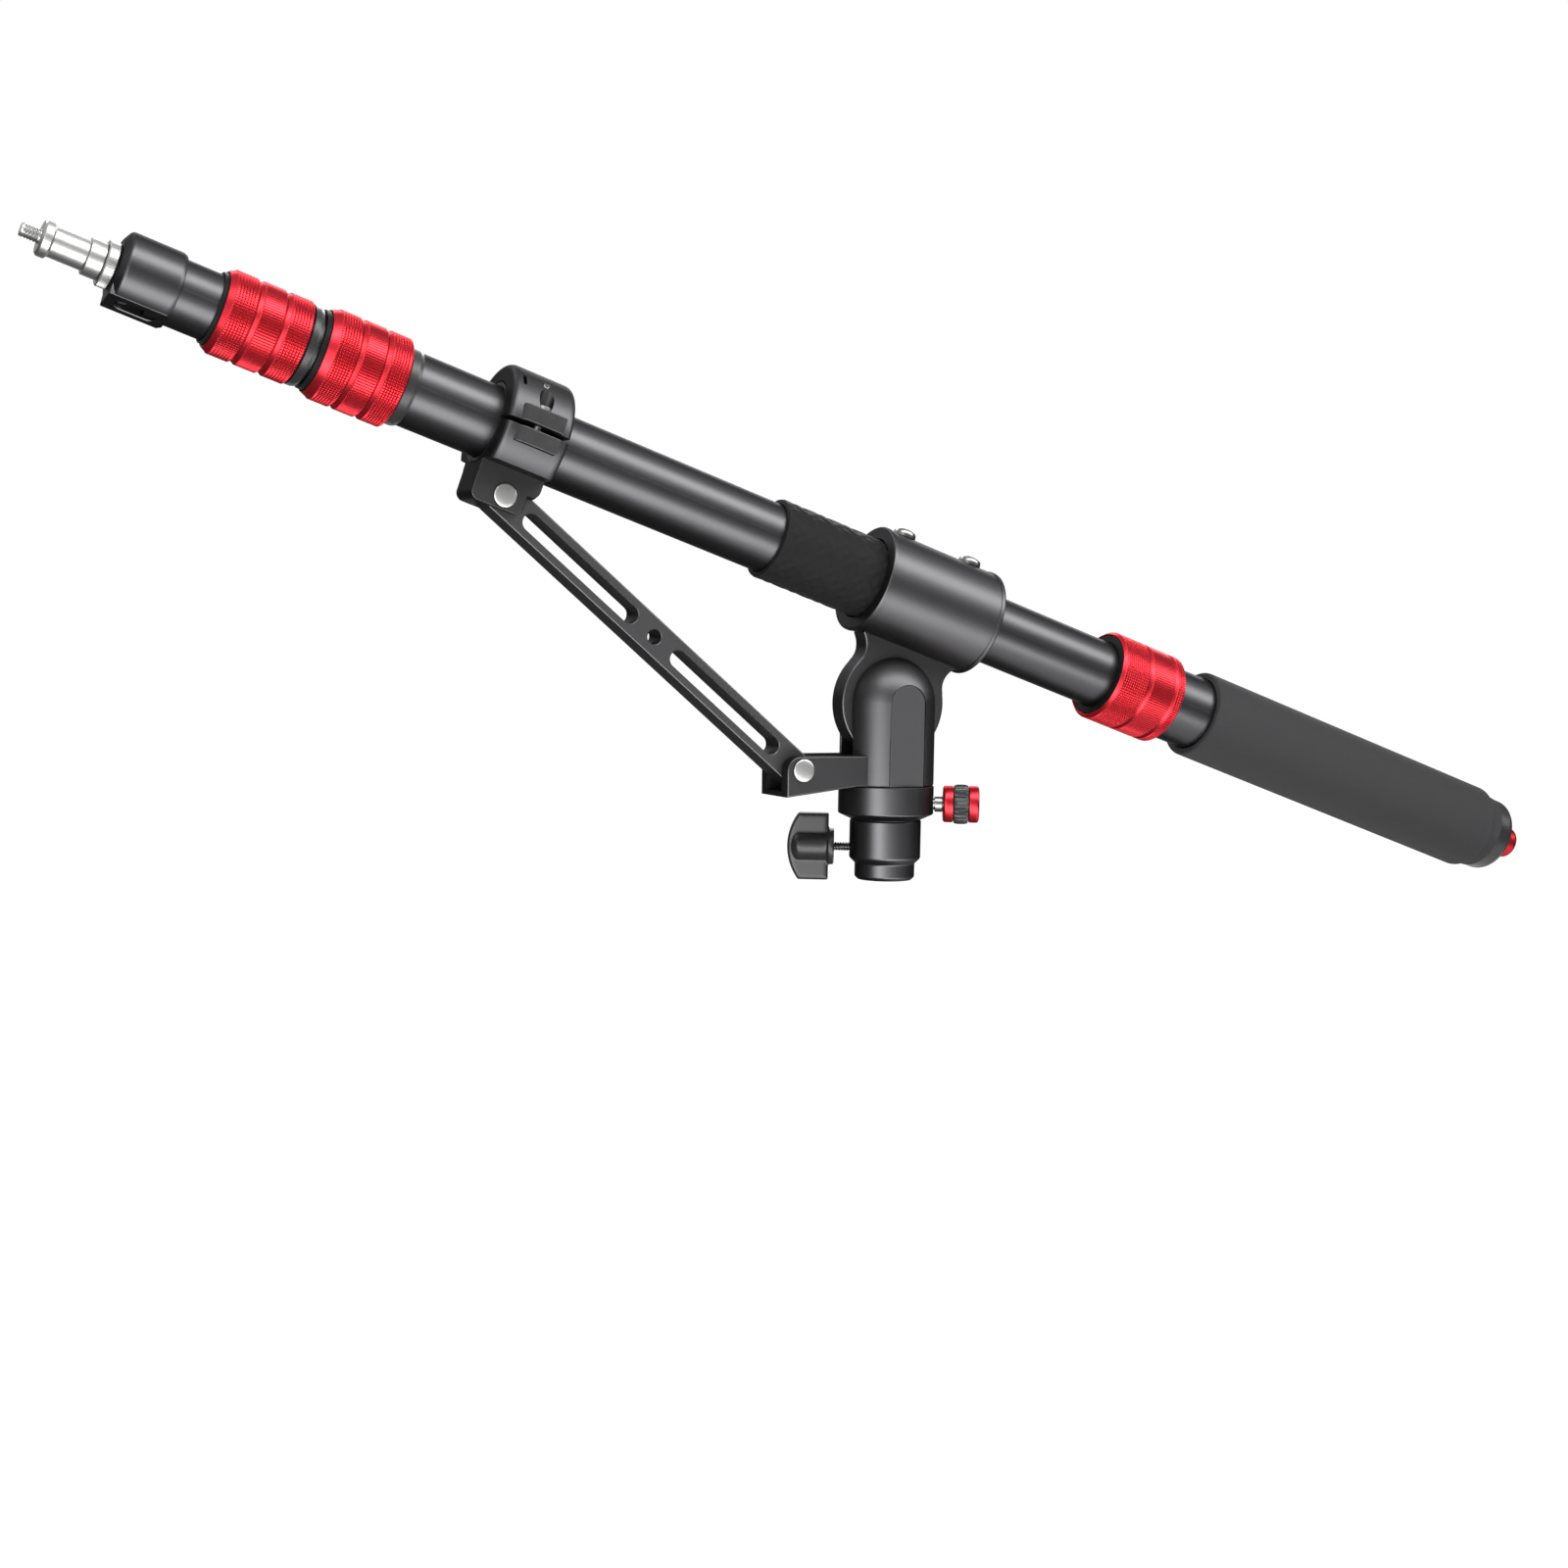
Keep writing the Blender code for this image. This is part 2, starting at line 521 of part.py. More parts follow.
def build_wing_knob(base):
    """Screw that holds the stand's spigot, with its moulded wing."""
    axis = empty("wing_knob_axis", (0, 0, WING_HEIGHT), (0, 90, WING_TURN), base)
    hub = SOCKET_R + WING_SCREW_FREE
    wing = hub + WING_HUB_WIDTH
    end = wing + WING_DEPTH
    screw_end = end - WING_SCREW_SHORT
    screw = rod(WING_SCREW_R, SPIGOT_BORE_R + GAP, screw_end, SMALL)
    add("wing_screw", screw, axis, "bright_steel")
    shoulder = end - WING_CROWN_DROP - WING_CROWN_RISE
    dome = [(WING_BARREL_R * r, shoulder + WING_CROWN_RISE * z) for r, z in arc(0, 0, 1, 90, 0, 4)]
    barrel = dome + [(WING_BARREL_R, wing), (WING_HUB_R, wing), (WING_HUB_R, hub), (0, hub)]
    body = add("wing_knob_body", turned(barrel, MEDIUM), axis, "black_plastic")
    half = WING_SPAN / 2
    rise = WING_SHOULDER
    bulge = (half ** 2 + rise ** 2) / (2 * rise)
    sweep = math.degrees(math.asin(half / bulge))
    foot = wing - GAP
    outline = arc(0, end - bulge, bulge, 90 - sweep, 90 + sweep, 10) + [(-half, foot), (half, foot)]
    blade = plate(outline, -WING_THICKNESS / 2, WING_THICKNESS / 2)
    edges = [e for e in blade.edges if abs(e.verts[0].co.y - e.verts[1].co.y) < TINY]
    bmesh.ops.bevel(blade, geom=edges, offset=WING_ROUNDING, segments=2, affect="EDGES", profile=0.5)
    shape(body, "UNION", [blade])
    shape(body, "DIFFERENCE", [rod(WING_SCREW_R + GAP, hub - GAP, screw_end + GAP, SMALL)])


def pad_outline(half, bottom):
    return [(half, bottom)] + arc(0, PIVOT_HEIGHT, half, 0, 180, 10) + [(-half, bottom)]


def build_yoke(yoke):
    """Slotted yoke with its spigot, side pads and the bracket that carries the strut."""
    groove = PAN_SPIGOT_R - PAN_GROOVE_DEPTH
    dome = arc(0, PIVOT_HEIGHT, YOKE_R, 90, 0, 8)
    spigot = [
        (YOKE_R, YOKE_BOTTOM), (PAN_SPIGOT_R, YOKE_BOTTOM),
        (PAN_SPIGOT_R, PAN_KNOB_HEIGHT + PAN_GROOVE_HALF),
        (groove, PAN_KNOB_HEIGHT + PAN_GROOVE_HALF / 4),
        (groove, PAN_KNOB_HEIGHT - PAN_GROOVE_HALF / 4),
        (PAN_SPIGOT_R, PAN_KNOB_HEIGHT - PAN_GROOVE_HALF),
        (PAN_SPIGOT_R, CUP_BOTTOM + GAP), (0, CUP_BOTTOM + GAP),
    ]
    body = add("yoke_body", turned(dome + spigot, LARGE), yoke, "black_anodised")
    tip = -BRACKET_REACH
    top = BRACKET_TOP
    corner = BRACKET_CORNER
    root = -PAN_SPIGOT_R
    outline = [(root, top)] + arc(tip + corner, top - corner, corner, 90, 180, 5) + [
        (tip, BRACKET_TIP_BOTTOM), (-COLLAR_R - GAP, YOKE_BOTTOM), (root, YOKE_BOTTOM)]
    shape(body, "UNION", [plate(outline, -BRACKET_HALF, BRACKET_HALF)])
    floor = BRACKET_FLOOR
    channel = [(-YOKE_R - GAP, top + floor), (tip - floor, top + floor),
               (tip - floor, BRACKET_TIP_BOTTOM + floor), (-YOKE_R - GAP, YOKE_BOTTOM + floor)]
    far = 2 * YOKE_R
    slot_floor = PIVOT_HEIGHT - SLOT_DEPTH
    recess = SLOT_HALF + FRICTION_THICKNESS + GAP
    pocket = PAD_Y - PAD_THICKNESS - GAP
    head_seat = pocket - TILT_HEAD_HEIGHT - 2 * GAP
    nut_seat = pocket - TILT_NUT_HEIGHT - 2 * GAP
    head_r = TILT_HEAD_R + GAP
    bolt_r = TILT_BOLT_R + GAP
    washer_r = FRICTION_R + GAP
    # One stepped bore: nut, bolt, washers at the slot, bolt, head
    bore = [(0, far), (head_r, far), (head_r, nut_seat), (bolt_r, nut_seat), (bolt_r, recess),
            (washer_r, recess), (washer_r, -recess), (bolt_r, -recess), (bolt_r, -head_seat),
            (head_r, -head_seat), (head_r, -far), (0, -far)]
    cuts = [
        plate(channel, -FORK_HALF, FORK_HALF),
        block((-far, -SLOT_HALF, slot_floor), (far, SLOT_HALF, PIVOT_HEIGHT + far)),
        along_y(rod(RIVET_R + GAP, -BRACKET_HALF - GAP, BRACKET_HALF + GAP, SMALL),
                STRUT_PIVOT_X, STRUT_PIVOT_Z),
    ]
    for side in (-1, 1):
        flat = sorted((side * PAD_Y, side * far))
        bed = sorted((side * pocket, side * far))
        cuts.append(block((-far, flat[0], 0), (far, flat[1], PIVOT_HEIGHT + far)))
        cuts.append(plate(pad_outline(PAD_HALF + GAP, YOKE_BOTTOM - GAP), *bed))
    shape(body, "DIFFERENCE", cuts)
    shape(body, "DIFFERENCE", [along_y(turned(bore, MEDIUM), 0, PIVOT_HEIGHT)])


def build_yoke_fittings(yoke):
    """Side pads, tilt bolt and nut, friction washers and the strut's lower rivet."""
    pocket = PAD_Y - PAD_THICKNESS - GAP
    for name, side in (("near", -1), ("far", 1)):
        faces = sorted((side * (PAD_Y - PAD_THICKNESS), side * PAD_Y))
        pad = plate(pad_outline(PAD_HALF, YOKE_BOTTOM), *faces)
        add(f"side_pad_{name}", pad, yoke, "black_paint")
        faces = sorted((side * SLOT_HALF, side * (SLOT_HALF + FRICTION_THICKNESS)))
        washer = ring(TILT_BOLT_R + GAP, FRICTION_R, *faces, MEDIUM)
        add(f"friction_washer_{name}", along_y(washer, 0, PIVOT_HEIGHT), yoke, "white_nylon")
    head = pocket - GAP
    nut = pocket - GAP
    bolt = turned([(0, nut), (TILT_BOLT_R, nut), (TILT_BOLT_R, -head + TILT_HEAD_HEIGHT),
                   (TILT_HEAD_R, -head + TILT_HEAD_HEIGHT), (TILT_HEAD_R, -head), (0, -head)], MEDIUM)
    add("tilt_bolt", along_y(bolt, 0, PIVOT_HEIGHT), yoke, "bright_steel")
    hexagon = ring(TILT_BOLT_R + GAP, TILT_HEAD_R, nut - TILT_NUT_HEIGHT, nut, 6)
    hexagon = add("tilt_nut", along_y(hexagon, 0, PIVOT_HEIGHT), yoke, "bright_steel")
    bore = along_y(rod(TILT_BOLT_R + GAP, nut - 2 * TILT_NUT_HEIGHT, nut + GAP, MEDIUM), 0, PIVOT_HEIGHT)
    shape(hexagon, "DIFFERENCE", [bore])
    rivet = along_y(rivet_bar(BRACKET_HALF), STRUT_PIVOT_X, STRUT_PIVOT_Z)
    add("strut_lower_rivet", rivet, yoke, "bright_steel")


def rivet_head(seat):
    """Outer half of a rivet's profile, from the middle of its crown to its shank."""
    low = seat + GAP
    edge = low + RIVET_EDGE
    crown = RIVET_HEAD_HEIGHT - RIVET_EDGE
    dome = [(RIVET_HEAD_R * r, edge + crown * z) for r, z in arc(0, 0, 1, 90, 0, 3)]
    return dome + [(RIVET_HEAD_R, low), (RIVET_R, low)]


def rivet_bar(half):
    """A rivet with a head at both ends."""
    upper = rivet_head(half)
    return turned(upper + [(r, -z) for r, z in reversed(upper)], SMALL)


def build_strut(parent):
    """Slotted bar between the bracket and the clamp."""
    station = clamp_station()
    angle = math.radians(TILT)
    rise = BOOM_RISE - FORK_DROP
    top_x = station * math.cos(angle) + rise * math.sin(angle)
    top_z = PIVOT_HEIGHT - station * math.sin(angle) + rise * math.cos(angle)
    lean = math.atan2(top_z - STRUT_PIVOT_Z, top_x - STRUT_PIVOT_X)
    axis = empty("strut_pivot", (STRUT_PIVOT_X, 0, STRUT_PIVOT_Z), (0, -math.degrees(lean), 0), parent)
    half = STRUT_THICKNESS / 2
    outline = oblong((STRUT_LENGTH + STRUT_WIDTH) / 2, STRUT_WIDTH / 2, STRUT_LENGTH / 2, 0, 8)
    bar = plate(outline, -half, half)
    edges = [e for e in bar.edges if abs(e.verts[0].co.y - e.verts[1].co.y) < TINY]
    bmesh.ops.bevel(bar, geom=edges, offset=STRUT_EDGE, segments=1, affect="EDGES", profile=0.5)
    bar = add("strut_bar", bar, axis, "black_anodised")
    deep = half + GAP
    middle = STRUT_SLOT_INSET + STRUT_SLOT_LENGTH / 2
    cuts = [along_y(rod(RIVET_R + GAP, -deep, deep, SMALL), x) for x in (0, STRUT_LENGTH)]
    cuts.append(along_y(rod(STRUT_HOLE_R, -deep, deep, SMALL), STRUT_LENGTH / 2))
    for x in (middle, STRUT_LENGTH - middle):
        cuts.append(plate(oblong(STRUT_SLOT_LENGTH / 2, STRUT_SLOT / 2, x, 0, 5), -deep, deep))
    shape(bar, "DIFFERENCE", cuts)


def tongue_outline():
    """Disc round the tilt axis, drawn in to a neck and flared out under the sleeve."""
    flare_rise = BOOM_RISE - SLEEVE_R
    top = flare_rise + TONGUE_SINK
    steep = (TONGUE_FLARE_HALF - TONGUE_NECK_HALF) / (flare_rise - TONGUE_NECK_RISE) ** 2
    low = TONGUE_FLANK_RISE
    start = math.degrees(math.asin(low / TONGUE_DISC_R))
    disc = arc(0, 0, TONGUE_DISC_R, 180 - start, 360 + start, 24)
    flank = []
    for i in range(1, 7):
        z = low + (flare_rise - low) * i / 6
        flank.append((TONGUE_NECK_HALF + steep * (z - TONGUE_NECK_RISE) ** 2, z))
    flank.append((TONGUE_FLARE_HALF, top))
    return disc + flank + [(-x, z) for x, z in reversed(flank)]


def build_sleeve(tube):
    """Sleeve round the main tube with the tongue that the yoke holds, in one casting."""
    length = SLEEVE_HALF_LENGTH
    rim = SLEEVE_R + SLEEVE_RIM
    width = SLEEVE_RIM_WIDTH
    bore = MAIN_TUBE_R + GAP
    seat = -length + WRAP_SEAT + GAP
    profile = [(rim - width / 3, length), (rim, length - width / 3), (rim, length - width),
               (SLEEVE_R, length - width), (SLEEVE_R, -length + width), (rim, -length + width),
               (rim, -length + width / 3), (rim - width / 3, -length),
               (WRAP_R + GAP, -length), (WRAP_R + GAP, seat), (bore, seat), (bore, length)]
    body = add("sleeve_body", turned(profile, LARGE), tube, "black_anodised")
    half = TONGUE_THICKNESS / 2
    upright = Matrix.Rotation(math.radians(-90), 4, "Y") @ Matrix.Translation((0, 0, -BOOM_RISE))
    tongue = moved(plate(tongue_outline(), -half, half), upright)
    shape(body, "UNION", [tongue])
    pivot = moved(along_y(rod(TILT_BOLT_R + GAP, -half - GAP, half + GAP, MEDIUM)), upright)
    spot = SLEEVE_R - SLEEVE_SPOT_DEPTH
    head_r = SLEEVE_SCREW_HEAD_R + GAP
    screw_r = SLEEVE_SCREW_R + GAP
    hole = [(0, rim + GAP), (head_r, rim + GAP), (head_r, spot), (screw_r, spot),
            (screw_r, MAIN_TUBE_R), (0, MAIN_TUBE_R)]
    cuts = [pivot, rod(bore, -length - GAP, length + GAP, LARGE)]
    cuts += [moved(turned(hole, MEDIUM), screw_matrix(side)) for side in (-1, 1)]
    shape(body, "DIFFERENCE", cuts)


def screw_matrix(side):
    """Stand a turned piece on top of the sleeve, at its front or rear screw."""
    # The quarter of a facet keeps its corners off the sleeve's own top edge
    return (Matrix.Translation((0, 0, side * SLEEVE_SCREW_STEP / 2))
            @ Matrix.Rotation(math.radians(-90), 4, "Y")
            @ Matrix.Rotation(math.pi / (2 * MEDIUM), 4, "Z"))


def build_sleeve_screws(tube):
    """Two button-head screws that lock the main tube in its sleeve."""
    head = SLEEVE_R - SLEEVE_SPOT_DEPTH + GAP
    top = head + SLEEVE_SCREW_HEAD_HEIGHT
    foot = MAIN_TUBE_R + GAP
    key = top - SLEEVE_SCREW_KEY_DEPTH
    side_width = SLEEVE_SCREW_HEAD_R - SLEEVE_SCREW_CROWN_R
    dome = [(SLEEVE_SCREW_CROWN_R + side_width * r, top - SLEEVE_SCREW_ROUND * (1 - z))
            for r, z in arc(0, 0, 1, 90, 0, 2)]
    profile = [(0, key), (SLEEVE_SCREW_KEY_R, key), (SLEEVE_SCREW_KEY_R, top)] + dome + [
        (SLEEVE_SCREW_HEAD_R, head), (SLEEVE_SCREW_R, head), (SLEEVE_SCREW_R, foot), (0, foot)]
    for name, side in (("front", -1), ("rear", 1)):
        screw = moved(turned(profile, SMALL), screw_matrix(side))
        add(f"sleeve_screw_{name}", screw, tube, "bright_steel")


def build_tube(name, outer, inner, front, rear, parent):
    add(name, ring(inner, outer, front, rear, LARGE), parent, "black_anodised")


def build_tube_plug(name, outer, bore, rear, parent):
    """Plug in the rear end of a tube."""
    r = bore - GAP
    profile = [(0, rear + GAP + PLUG_FLANGE), (outer, rear + GAP + PLUG_FLANGE), (outer, rear + GAP),
               (r, rear + GAP), (r, rear - PLUG_LENGTH), (0, rear - PLUG_LENGTH)]
    add(name, turned(profile, MEDIUM), parent, "black_plastic")


def build_grip_wrap(tube):
    """Rubber wrap in front of the sleeve, with its rear end inside it."""
    rear = -SLEEVE_HALF_LENGTH + WRAP_SEAT
    front = rear - WRAP_LENGTH
    edge = (WRAP_R - MAIN_TUBE_R) / 3
    bore = MAIN_TUBE_R + GAP
    profile = [(WRAP_R, rear), (WRAP_R, front + edge), (WRAP_R - edge, front), (bore, front), (bore, rear)]
    add("grip_wrap", turned(profile, LARGE), tube, "rubber")


def collar_profile(size, front):
    """Turned outline of a lock collar: front chamfer, ridges with V grooves, stepped bore."""
    rear = front + size["length"]
    radius = size["radius"]
    edge = size["groove_depth"]
    shares = size["ridges"]
    room = size["length"] - size["chamfer"] - edge - size["groove"] * (len(shares) - 1)
    outer = [(radius - size["front_drop"], front), (radius, front + size["chamfer"])]
    station = front + size["chamfer"]
    for i, share in enumerate(shares):
        station += room * share / sum(shares)
        outer.append((radius, station))
        if i < len(shares) - 1:
            outer.append((radius - edge, station + size["groove"] * GROOVE_FRONT_SHARE))
            station += size["groove"]
            outer.append((radius, station))
    outer.append((radius - edge, rear))
    mouth = size["nose_r"] + GAP
    bore = size["bore_r"]
    inner = [(bore, rear), (bore, front + MOUTH_DEPTH), (mouth, front + MOUTH_DEPTH), (mouth, front)]
    return outer + inner


def bush_profile(size, front, inner):
    """Split bush that the collar closes on the inner tube. Its nose shows at the mouth."""
    body = size["bore_r"] - GAP
    nose = size["nose_r"]
    step = front + MOUTH_DEPTH + (GAP if nose < body else -GAP)
    rear = front + size["lead"] - FERRULE_LIP - GAP
    return [(inner, front - size["nose"]), (nose, front - size["nose"]), (nose, step),
            (body, step), (body, rear), (inner, rear)]


def build_collar(number, size, front, slid_tube_r, body_parent, axis):
    """Red twist collar and the bush under it."""
    add(f"lock_collar_{number}", turned(collar_profile(size, front), LARGE), axis, "red_anodised")
    inner = slid_tube_r + GAP
    bush = turned(bush_profile(size, front, inner), LARGE)
    bush = add(f"collar_{number}_bush", bush, body_parent, "black_plastic")
    slit = front + MOUTH_DEPTH + 3 * GAP
    rear = front + size["lead"]
    split = block((inner / 2, -3 * GAP, slit), (size["radius"], 3 * GAP, rear))
    shape(bush, "DIFFERENCE", [split])


def build_ferrule(name, size, collar_front, tube_r, lip_r, shoulder_r, shoulder, parent):
    """Threaded end fitting of an outer tube. The tube seats against its front lip."""
    thread = size["bore_r"] - GAP
    front = collar_front + size["lead"] - FERRULE_LIP
    step = collar_front + size["length"] + GAP
    rear = step + shoulder
    bore = tube_r + GAP
    seat = collar_front + size["lead"] - GAP
    profile = [(shoulder_r - FERRULE_CHAMFER / 3, rear), (shoulder_r, rear - FERRULE_CHAMFER),
               (shoulder_r, step), (thread, step), (thread, front), (lip_r, front), (lip_r, seat),
               (bore, seat), (bore, rear)]
    add(name, turned(profile, LARGE), parent, "black_plastic")


def build_clamp(tube):
    """Split ring that slides on the main tube, with the fork that holds the strut."""
    axis = empty("clamp_slide", (0, 0, clamp_station()), (0, 0, 0), tube)
    half = CLAMP_LENGTH / 2
    liner_r = MAIN_TUBE_R + GAP + LINER_THICKNESS
    bore = liner_r + GAP
    edge = CLAMP_EDGE
    rear_edge = arc(CLAMP_R - edge, half - edge, edge, 90, 0, 3)
    front_edge = arc(CLAMP_R - edge, -half + edge, edge, 0, -90, 3)
    body = turned(rear_edge + front_edge + [(bore, -half), (bore, half)], LARGE)
    body = add("clamp_body", body, axis, "black_anodised")

    outer = FORK_HALF + FORK_CHEEK
    bottom = FORK_DROP + FORK_BELOW
    corner = FORK_CORNER
    fork = [(bore, -half)] + arc(bottom - corner, -half + corner, corner, -90, 0, 4)
    fork += arc(bottom - corner, FORK_BEHIND - corner, corner, 0, 90, 4) + [(bore, FORK_BEHIND)]
    # The lugs' outline lies in (down, outward), then its outward side is laid along -Y
    lug = [(-PINCH_RISE, PINCH_FACE), (PINCH_FALL, PINCH_FACE),
           (PINCH_FALL + edge, bore), (-PINCH_RISE - edge, bore)]
    lugs = moved(plate(lug, -PINCH_LENGTH / 2, PINCH_LENGTH / 2), Matrix.Rotation(math.radians(90), 4, "X"))
    shape(body, "UNION", [plate(fork, -outer, outer), lugs])

    slide = MAIN_TUBE_R + GAP
    web = -half + FORK_WEB
    screw = Matrix.Translation((0, PINCH_SCREW_Y, 0)) @ Matrix.Rotation(math.radians(-90), 4, "Y")
    low = -PINCH_GAP_RISE - PINCH_GAP / 2
    set_turn = (Matrix.Rotation(math.radians(SET_SCREW_TURN), 4, "Z")
                @ Matrix.Rotation(math.radians(-90), 4, "Y"))
    far = 2 * CLAMP_R
    cuts = [
        block((FORK_SHELF, -far, -far), (far, -outer, far)),
        block((FORK_SHELF, outer, -far), (far, far, far)),
        rod(bore, -half - GAP, half + GAP, LARGE),
        block((slide / 2, -FORK_HALF, web), (bottom + GAP, FORK_HALF, half + GAP)),
        block((low, -PINCH_FACE - GAP, -half - GAP), (low + PINCH_GAP, 0, half + GAP)),
        moved(rod(PINCH_SCREW_R + GAP, -PINCH_SEAT, PINCH_SEAT + GAP, SMALL), screw),
        moved(rod(PINCH_HEAD_R + GAP, PINCH_SEAT, CLAMP_R, MEDIUM), screw),
        moved(rod(SET_SCREW_R + GAP, CLAMP_R - SET_SCREW_LENGTH - GAP, CLAMP_R + GAP, SMALL), set_turn),
        along_y(rod(RIVET_R + GAP, -outer - GAP, outer + GAP, SMALL), FORK_DROP),
    ]
    shape(body, "DIFFERENCE", cuts)

    liner = add("clamp_liner", ring(slide, liner_r, -half, half, LARGE), axis, "black_plastic")
    shape(liner, "DIFFERENCE", [
        block((slide / 2, -FORK_HALF, web), (bottom, FORK_HALF, half + GAP)),
        block((low, -CLAMP_R, -half - GAP), (low + PINCH_GAP, 0, half + GAP)),
    ])
    head = PINCH_SEAT + GAP
    top = head + PINCH_HEAD_HEIGHT
    key = top - PINCH_KEY_DEPTH
    pinch = [(0, key), (PINCH_KEY_R, key), (PINCH_KEY_R, top), (PINCH_HEAD_R, top), (PINCH_HEAD_R, head),
             (PINCH_SCREW_R, head), (PINCH_SCREW_R, -PINCH_SEAT + GAP), (0, -PINCH_SEAT + GAP)]
    add("clamp_screw", moved(turned(pinch, SMALL), screw), axis, "bright_steel")
    set_screw = rod(SET_SCREW_R, CLAMP_R - SET_SCREW_LENGTH, CLAMP_R - GAP, SMALL)
    add("clamp_set_screw", moved(set_screw, set_turn), axis, "bright_steel")
    for name, side in (("near", -1), ("far", 1)):
        stub = turned(rivet_head(outer) + [(RIVET_R, FORK_HALF), (0, FORK_HALF)], SMALL)
        if side < 0:
            stub = moved(stub, Matrix.Rotation(math.radians(180), 4, "X"))
        add(f"fork_rivet_{name}", along_y(stub, FORK_DROP), axis, "bright_steel")


def build_front_end(tube):
    """End hub, its lock screw, the knurled ring and the threaded stud."""
    tail_r = STUD_TAIL_R + GAP
    mouth_r = FRONT_TUBE_R + GAP
    mouth = HUB_REAR - HUB_SOCKET
    hole = HUB_FRONT + STUD_TAIL
    r = HUB_R
    profile = [(0, mouth), (mouth_r, mouth), (mouth_r, HUB_REAR), (r - HUB_REAR_CHAMFER / 2, HUB_REAR),
               (r, HUB_REAR - HUB_REAR_CHAMFER), (r, HUB_FRONT + HUB_FRONT_CHAMFER),
               (HUB_FRONT_R, HUB_FRONT), (tail_r, HUB_FRONT), (tail_r, hole), (0, hole)]
    hub = add("end_hub", turned(profile, LARGE), tube, "black_anodised")
    down = Matrix.Rotation(math.radians(-HUB_FLAT_TURN), 4, "Z")
    screw_at = HUB_FRONT + HUB_SCREW_FROM_FRONT
    slot = oblong(HUB_SLOT_LENGTH / 2, HUB_SLOT_WIDTH / 2, (HUB_FRONT + HUB_REAR) / 2, 0, 5)
    slot_bed = HUB_FLAT - HUB_SLOT_DEPTH
    # The slot's outline lies in (station, across), then it is stood up along the facet's normal
    stand = Matrix(((0, 1, 0, 0), (0, 0, 1, 0), (1, 0, 0, 0), (0, 0, 0, 1)))
    radial = Matrix.Translation((0, 0, screw_at)) @ Matrix.Rotation(math.radians(90), 4, "Y")
    facet = block((HUB_FLAT, -HUB_FLAT_HALF, HUB_FRONT - GAP), (2 * r, HUB_FLAT_HALF, HUB_REAR + GAP))
    shape(hub, "DIFFERENCE", [moved(facet, down)])
    shape(hub, "DIFFERENCE", [
        moved(plate(slot, slot_bed, r + GAP), down @ stand),
        moved(rod(HUB_SCREW_R + GAP, STUD_TAIL_R / 2, r, SMALL), down @ radial),
    ])
    screw = rod(HUB_SCREW_R, STUD_TAIL_R + GAP, slot_bed + HUB_SLOT_DEPTH / 2, SMALL)
    add("hub_screw", moved(screw, down @ radial), tube, "bright_steel")

    ring_rear = HUB_FRONT - GAP
    ring_front = ring_rear - RING_WIDTH
    edge = RING_WIDTH / 10
    knurled = [(RING_R - edge, ring_rear), (RING_R, ring_rear - edge), (RING_R, ring_front + edge),
               (RING_R - edge, ring_front), (tail_r, ring_front), (tail_r, ring_rear)]
    add("stud_ring", turned(knurled, MEDIUM), tube, "bright_steel")

    base = ring_front - GAP
    neck = base - STUD_BASE
    flange = neck - STUD_NECK
    shoulder = flange - STUD_FLANGE
    tip = shoulder - STUD_THREAD
    cut = STUD_CHAMFER
    stud = [(0, hole - GAP), (STUD_TAIL_R, hole - GAP), (STUD_TAIL_R, base), (STUD_BASE_R, base),
            (STUD_BASE_R, neck + cut / 2), (STUD_NECK_R, neck), (STUD_NECK_R, flange),
            (STUD_FLANGE_R, flange - cut), (STUD_FLANGE_R, shoulder + cut), (STUD_FLANGE_R - cut, shoulder),
            (STUD_THREAD_R, shoulder), (STUD_THREAD_R, tip + cut / 2), (STUD_THREAD_R - cut / 2, tip),
            (0, tip)]
    add("stud", turned(stud, MEDIUM), tube, "bright_steel")


def build_handle(tube):
    """Foam grip, end cap and red end plug on the handle tube."""
    rear = FOAM_REAR
    tail = rear - FOAM_TAIL
    bore = HANDLE_TUBE_R + GAP
    foam = [(FOAM_TAIL_R, rear), (FOAM_TAIL_R, tail + FOAM_EDGE), (FOAM_R, tail),
            (FOAM_R, FOAM_FRONT + FOAM_EDGE / 3), (FOAM_R - FOAM_EDGE / 3, FOAM_FRONT),
            (bore, FOAM_FRONT), (bore, rear)]
    add("handle_foam", turned(foam, LARGE), tube, "foam")

    shank = HANDLE_BORE_R - GAP
    bed = HANDLE_TUBE_REAR + GAP
    skirt = CAP_FRONT + CAP_SKIRT
    face = skirt + CAP_DOME
    hole = face - END_PLUG_STEM - GAP
    crown = []
    for r, z in arc(0, 0, 1, 90, 0, 3):
        crown.append((CAP_FACE_R + (CAP_R - CAP_FACE_R) * r, skirt + CAP_DOME * z))
    stem = END_PLUG_STEM_R + GAP
    cap = [(0, hole), (stem, hole), (stem, face)] + crown + [
        (CAP_R, CAP_FRONT), (bore, CAP_FRONT), (bore, bed), (shank, bed),
        (shank, HANDLE_TUBE_REAR - CAP_SHANK), (0, HANDLE_TUBE_REAR - CAP_SHANK)]
    add("end_cap", turned(cap, LARGE), tube, "black_plastic")

    low = face + GAP
    end = low + END_PLUG_LENGTH
    soft = END_PLUG_R / 3
    crown = arc(END_PLUG_R - soft, end - soft, soft, 90, 0, 2)
    plug = [(0, end)] + crown + [(END_PLUG_R, low), (END_PLUG_STEM_R, low),
                                 (END_PLUG_STEM_R, hole + GAP), (0, hole + GAP)]
    add("end_plug", turned(plug, MEDIUM), tube, "red_anodised")


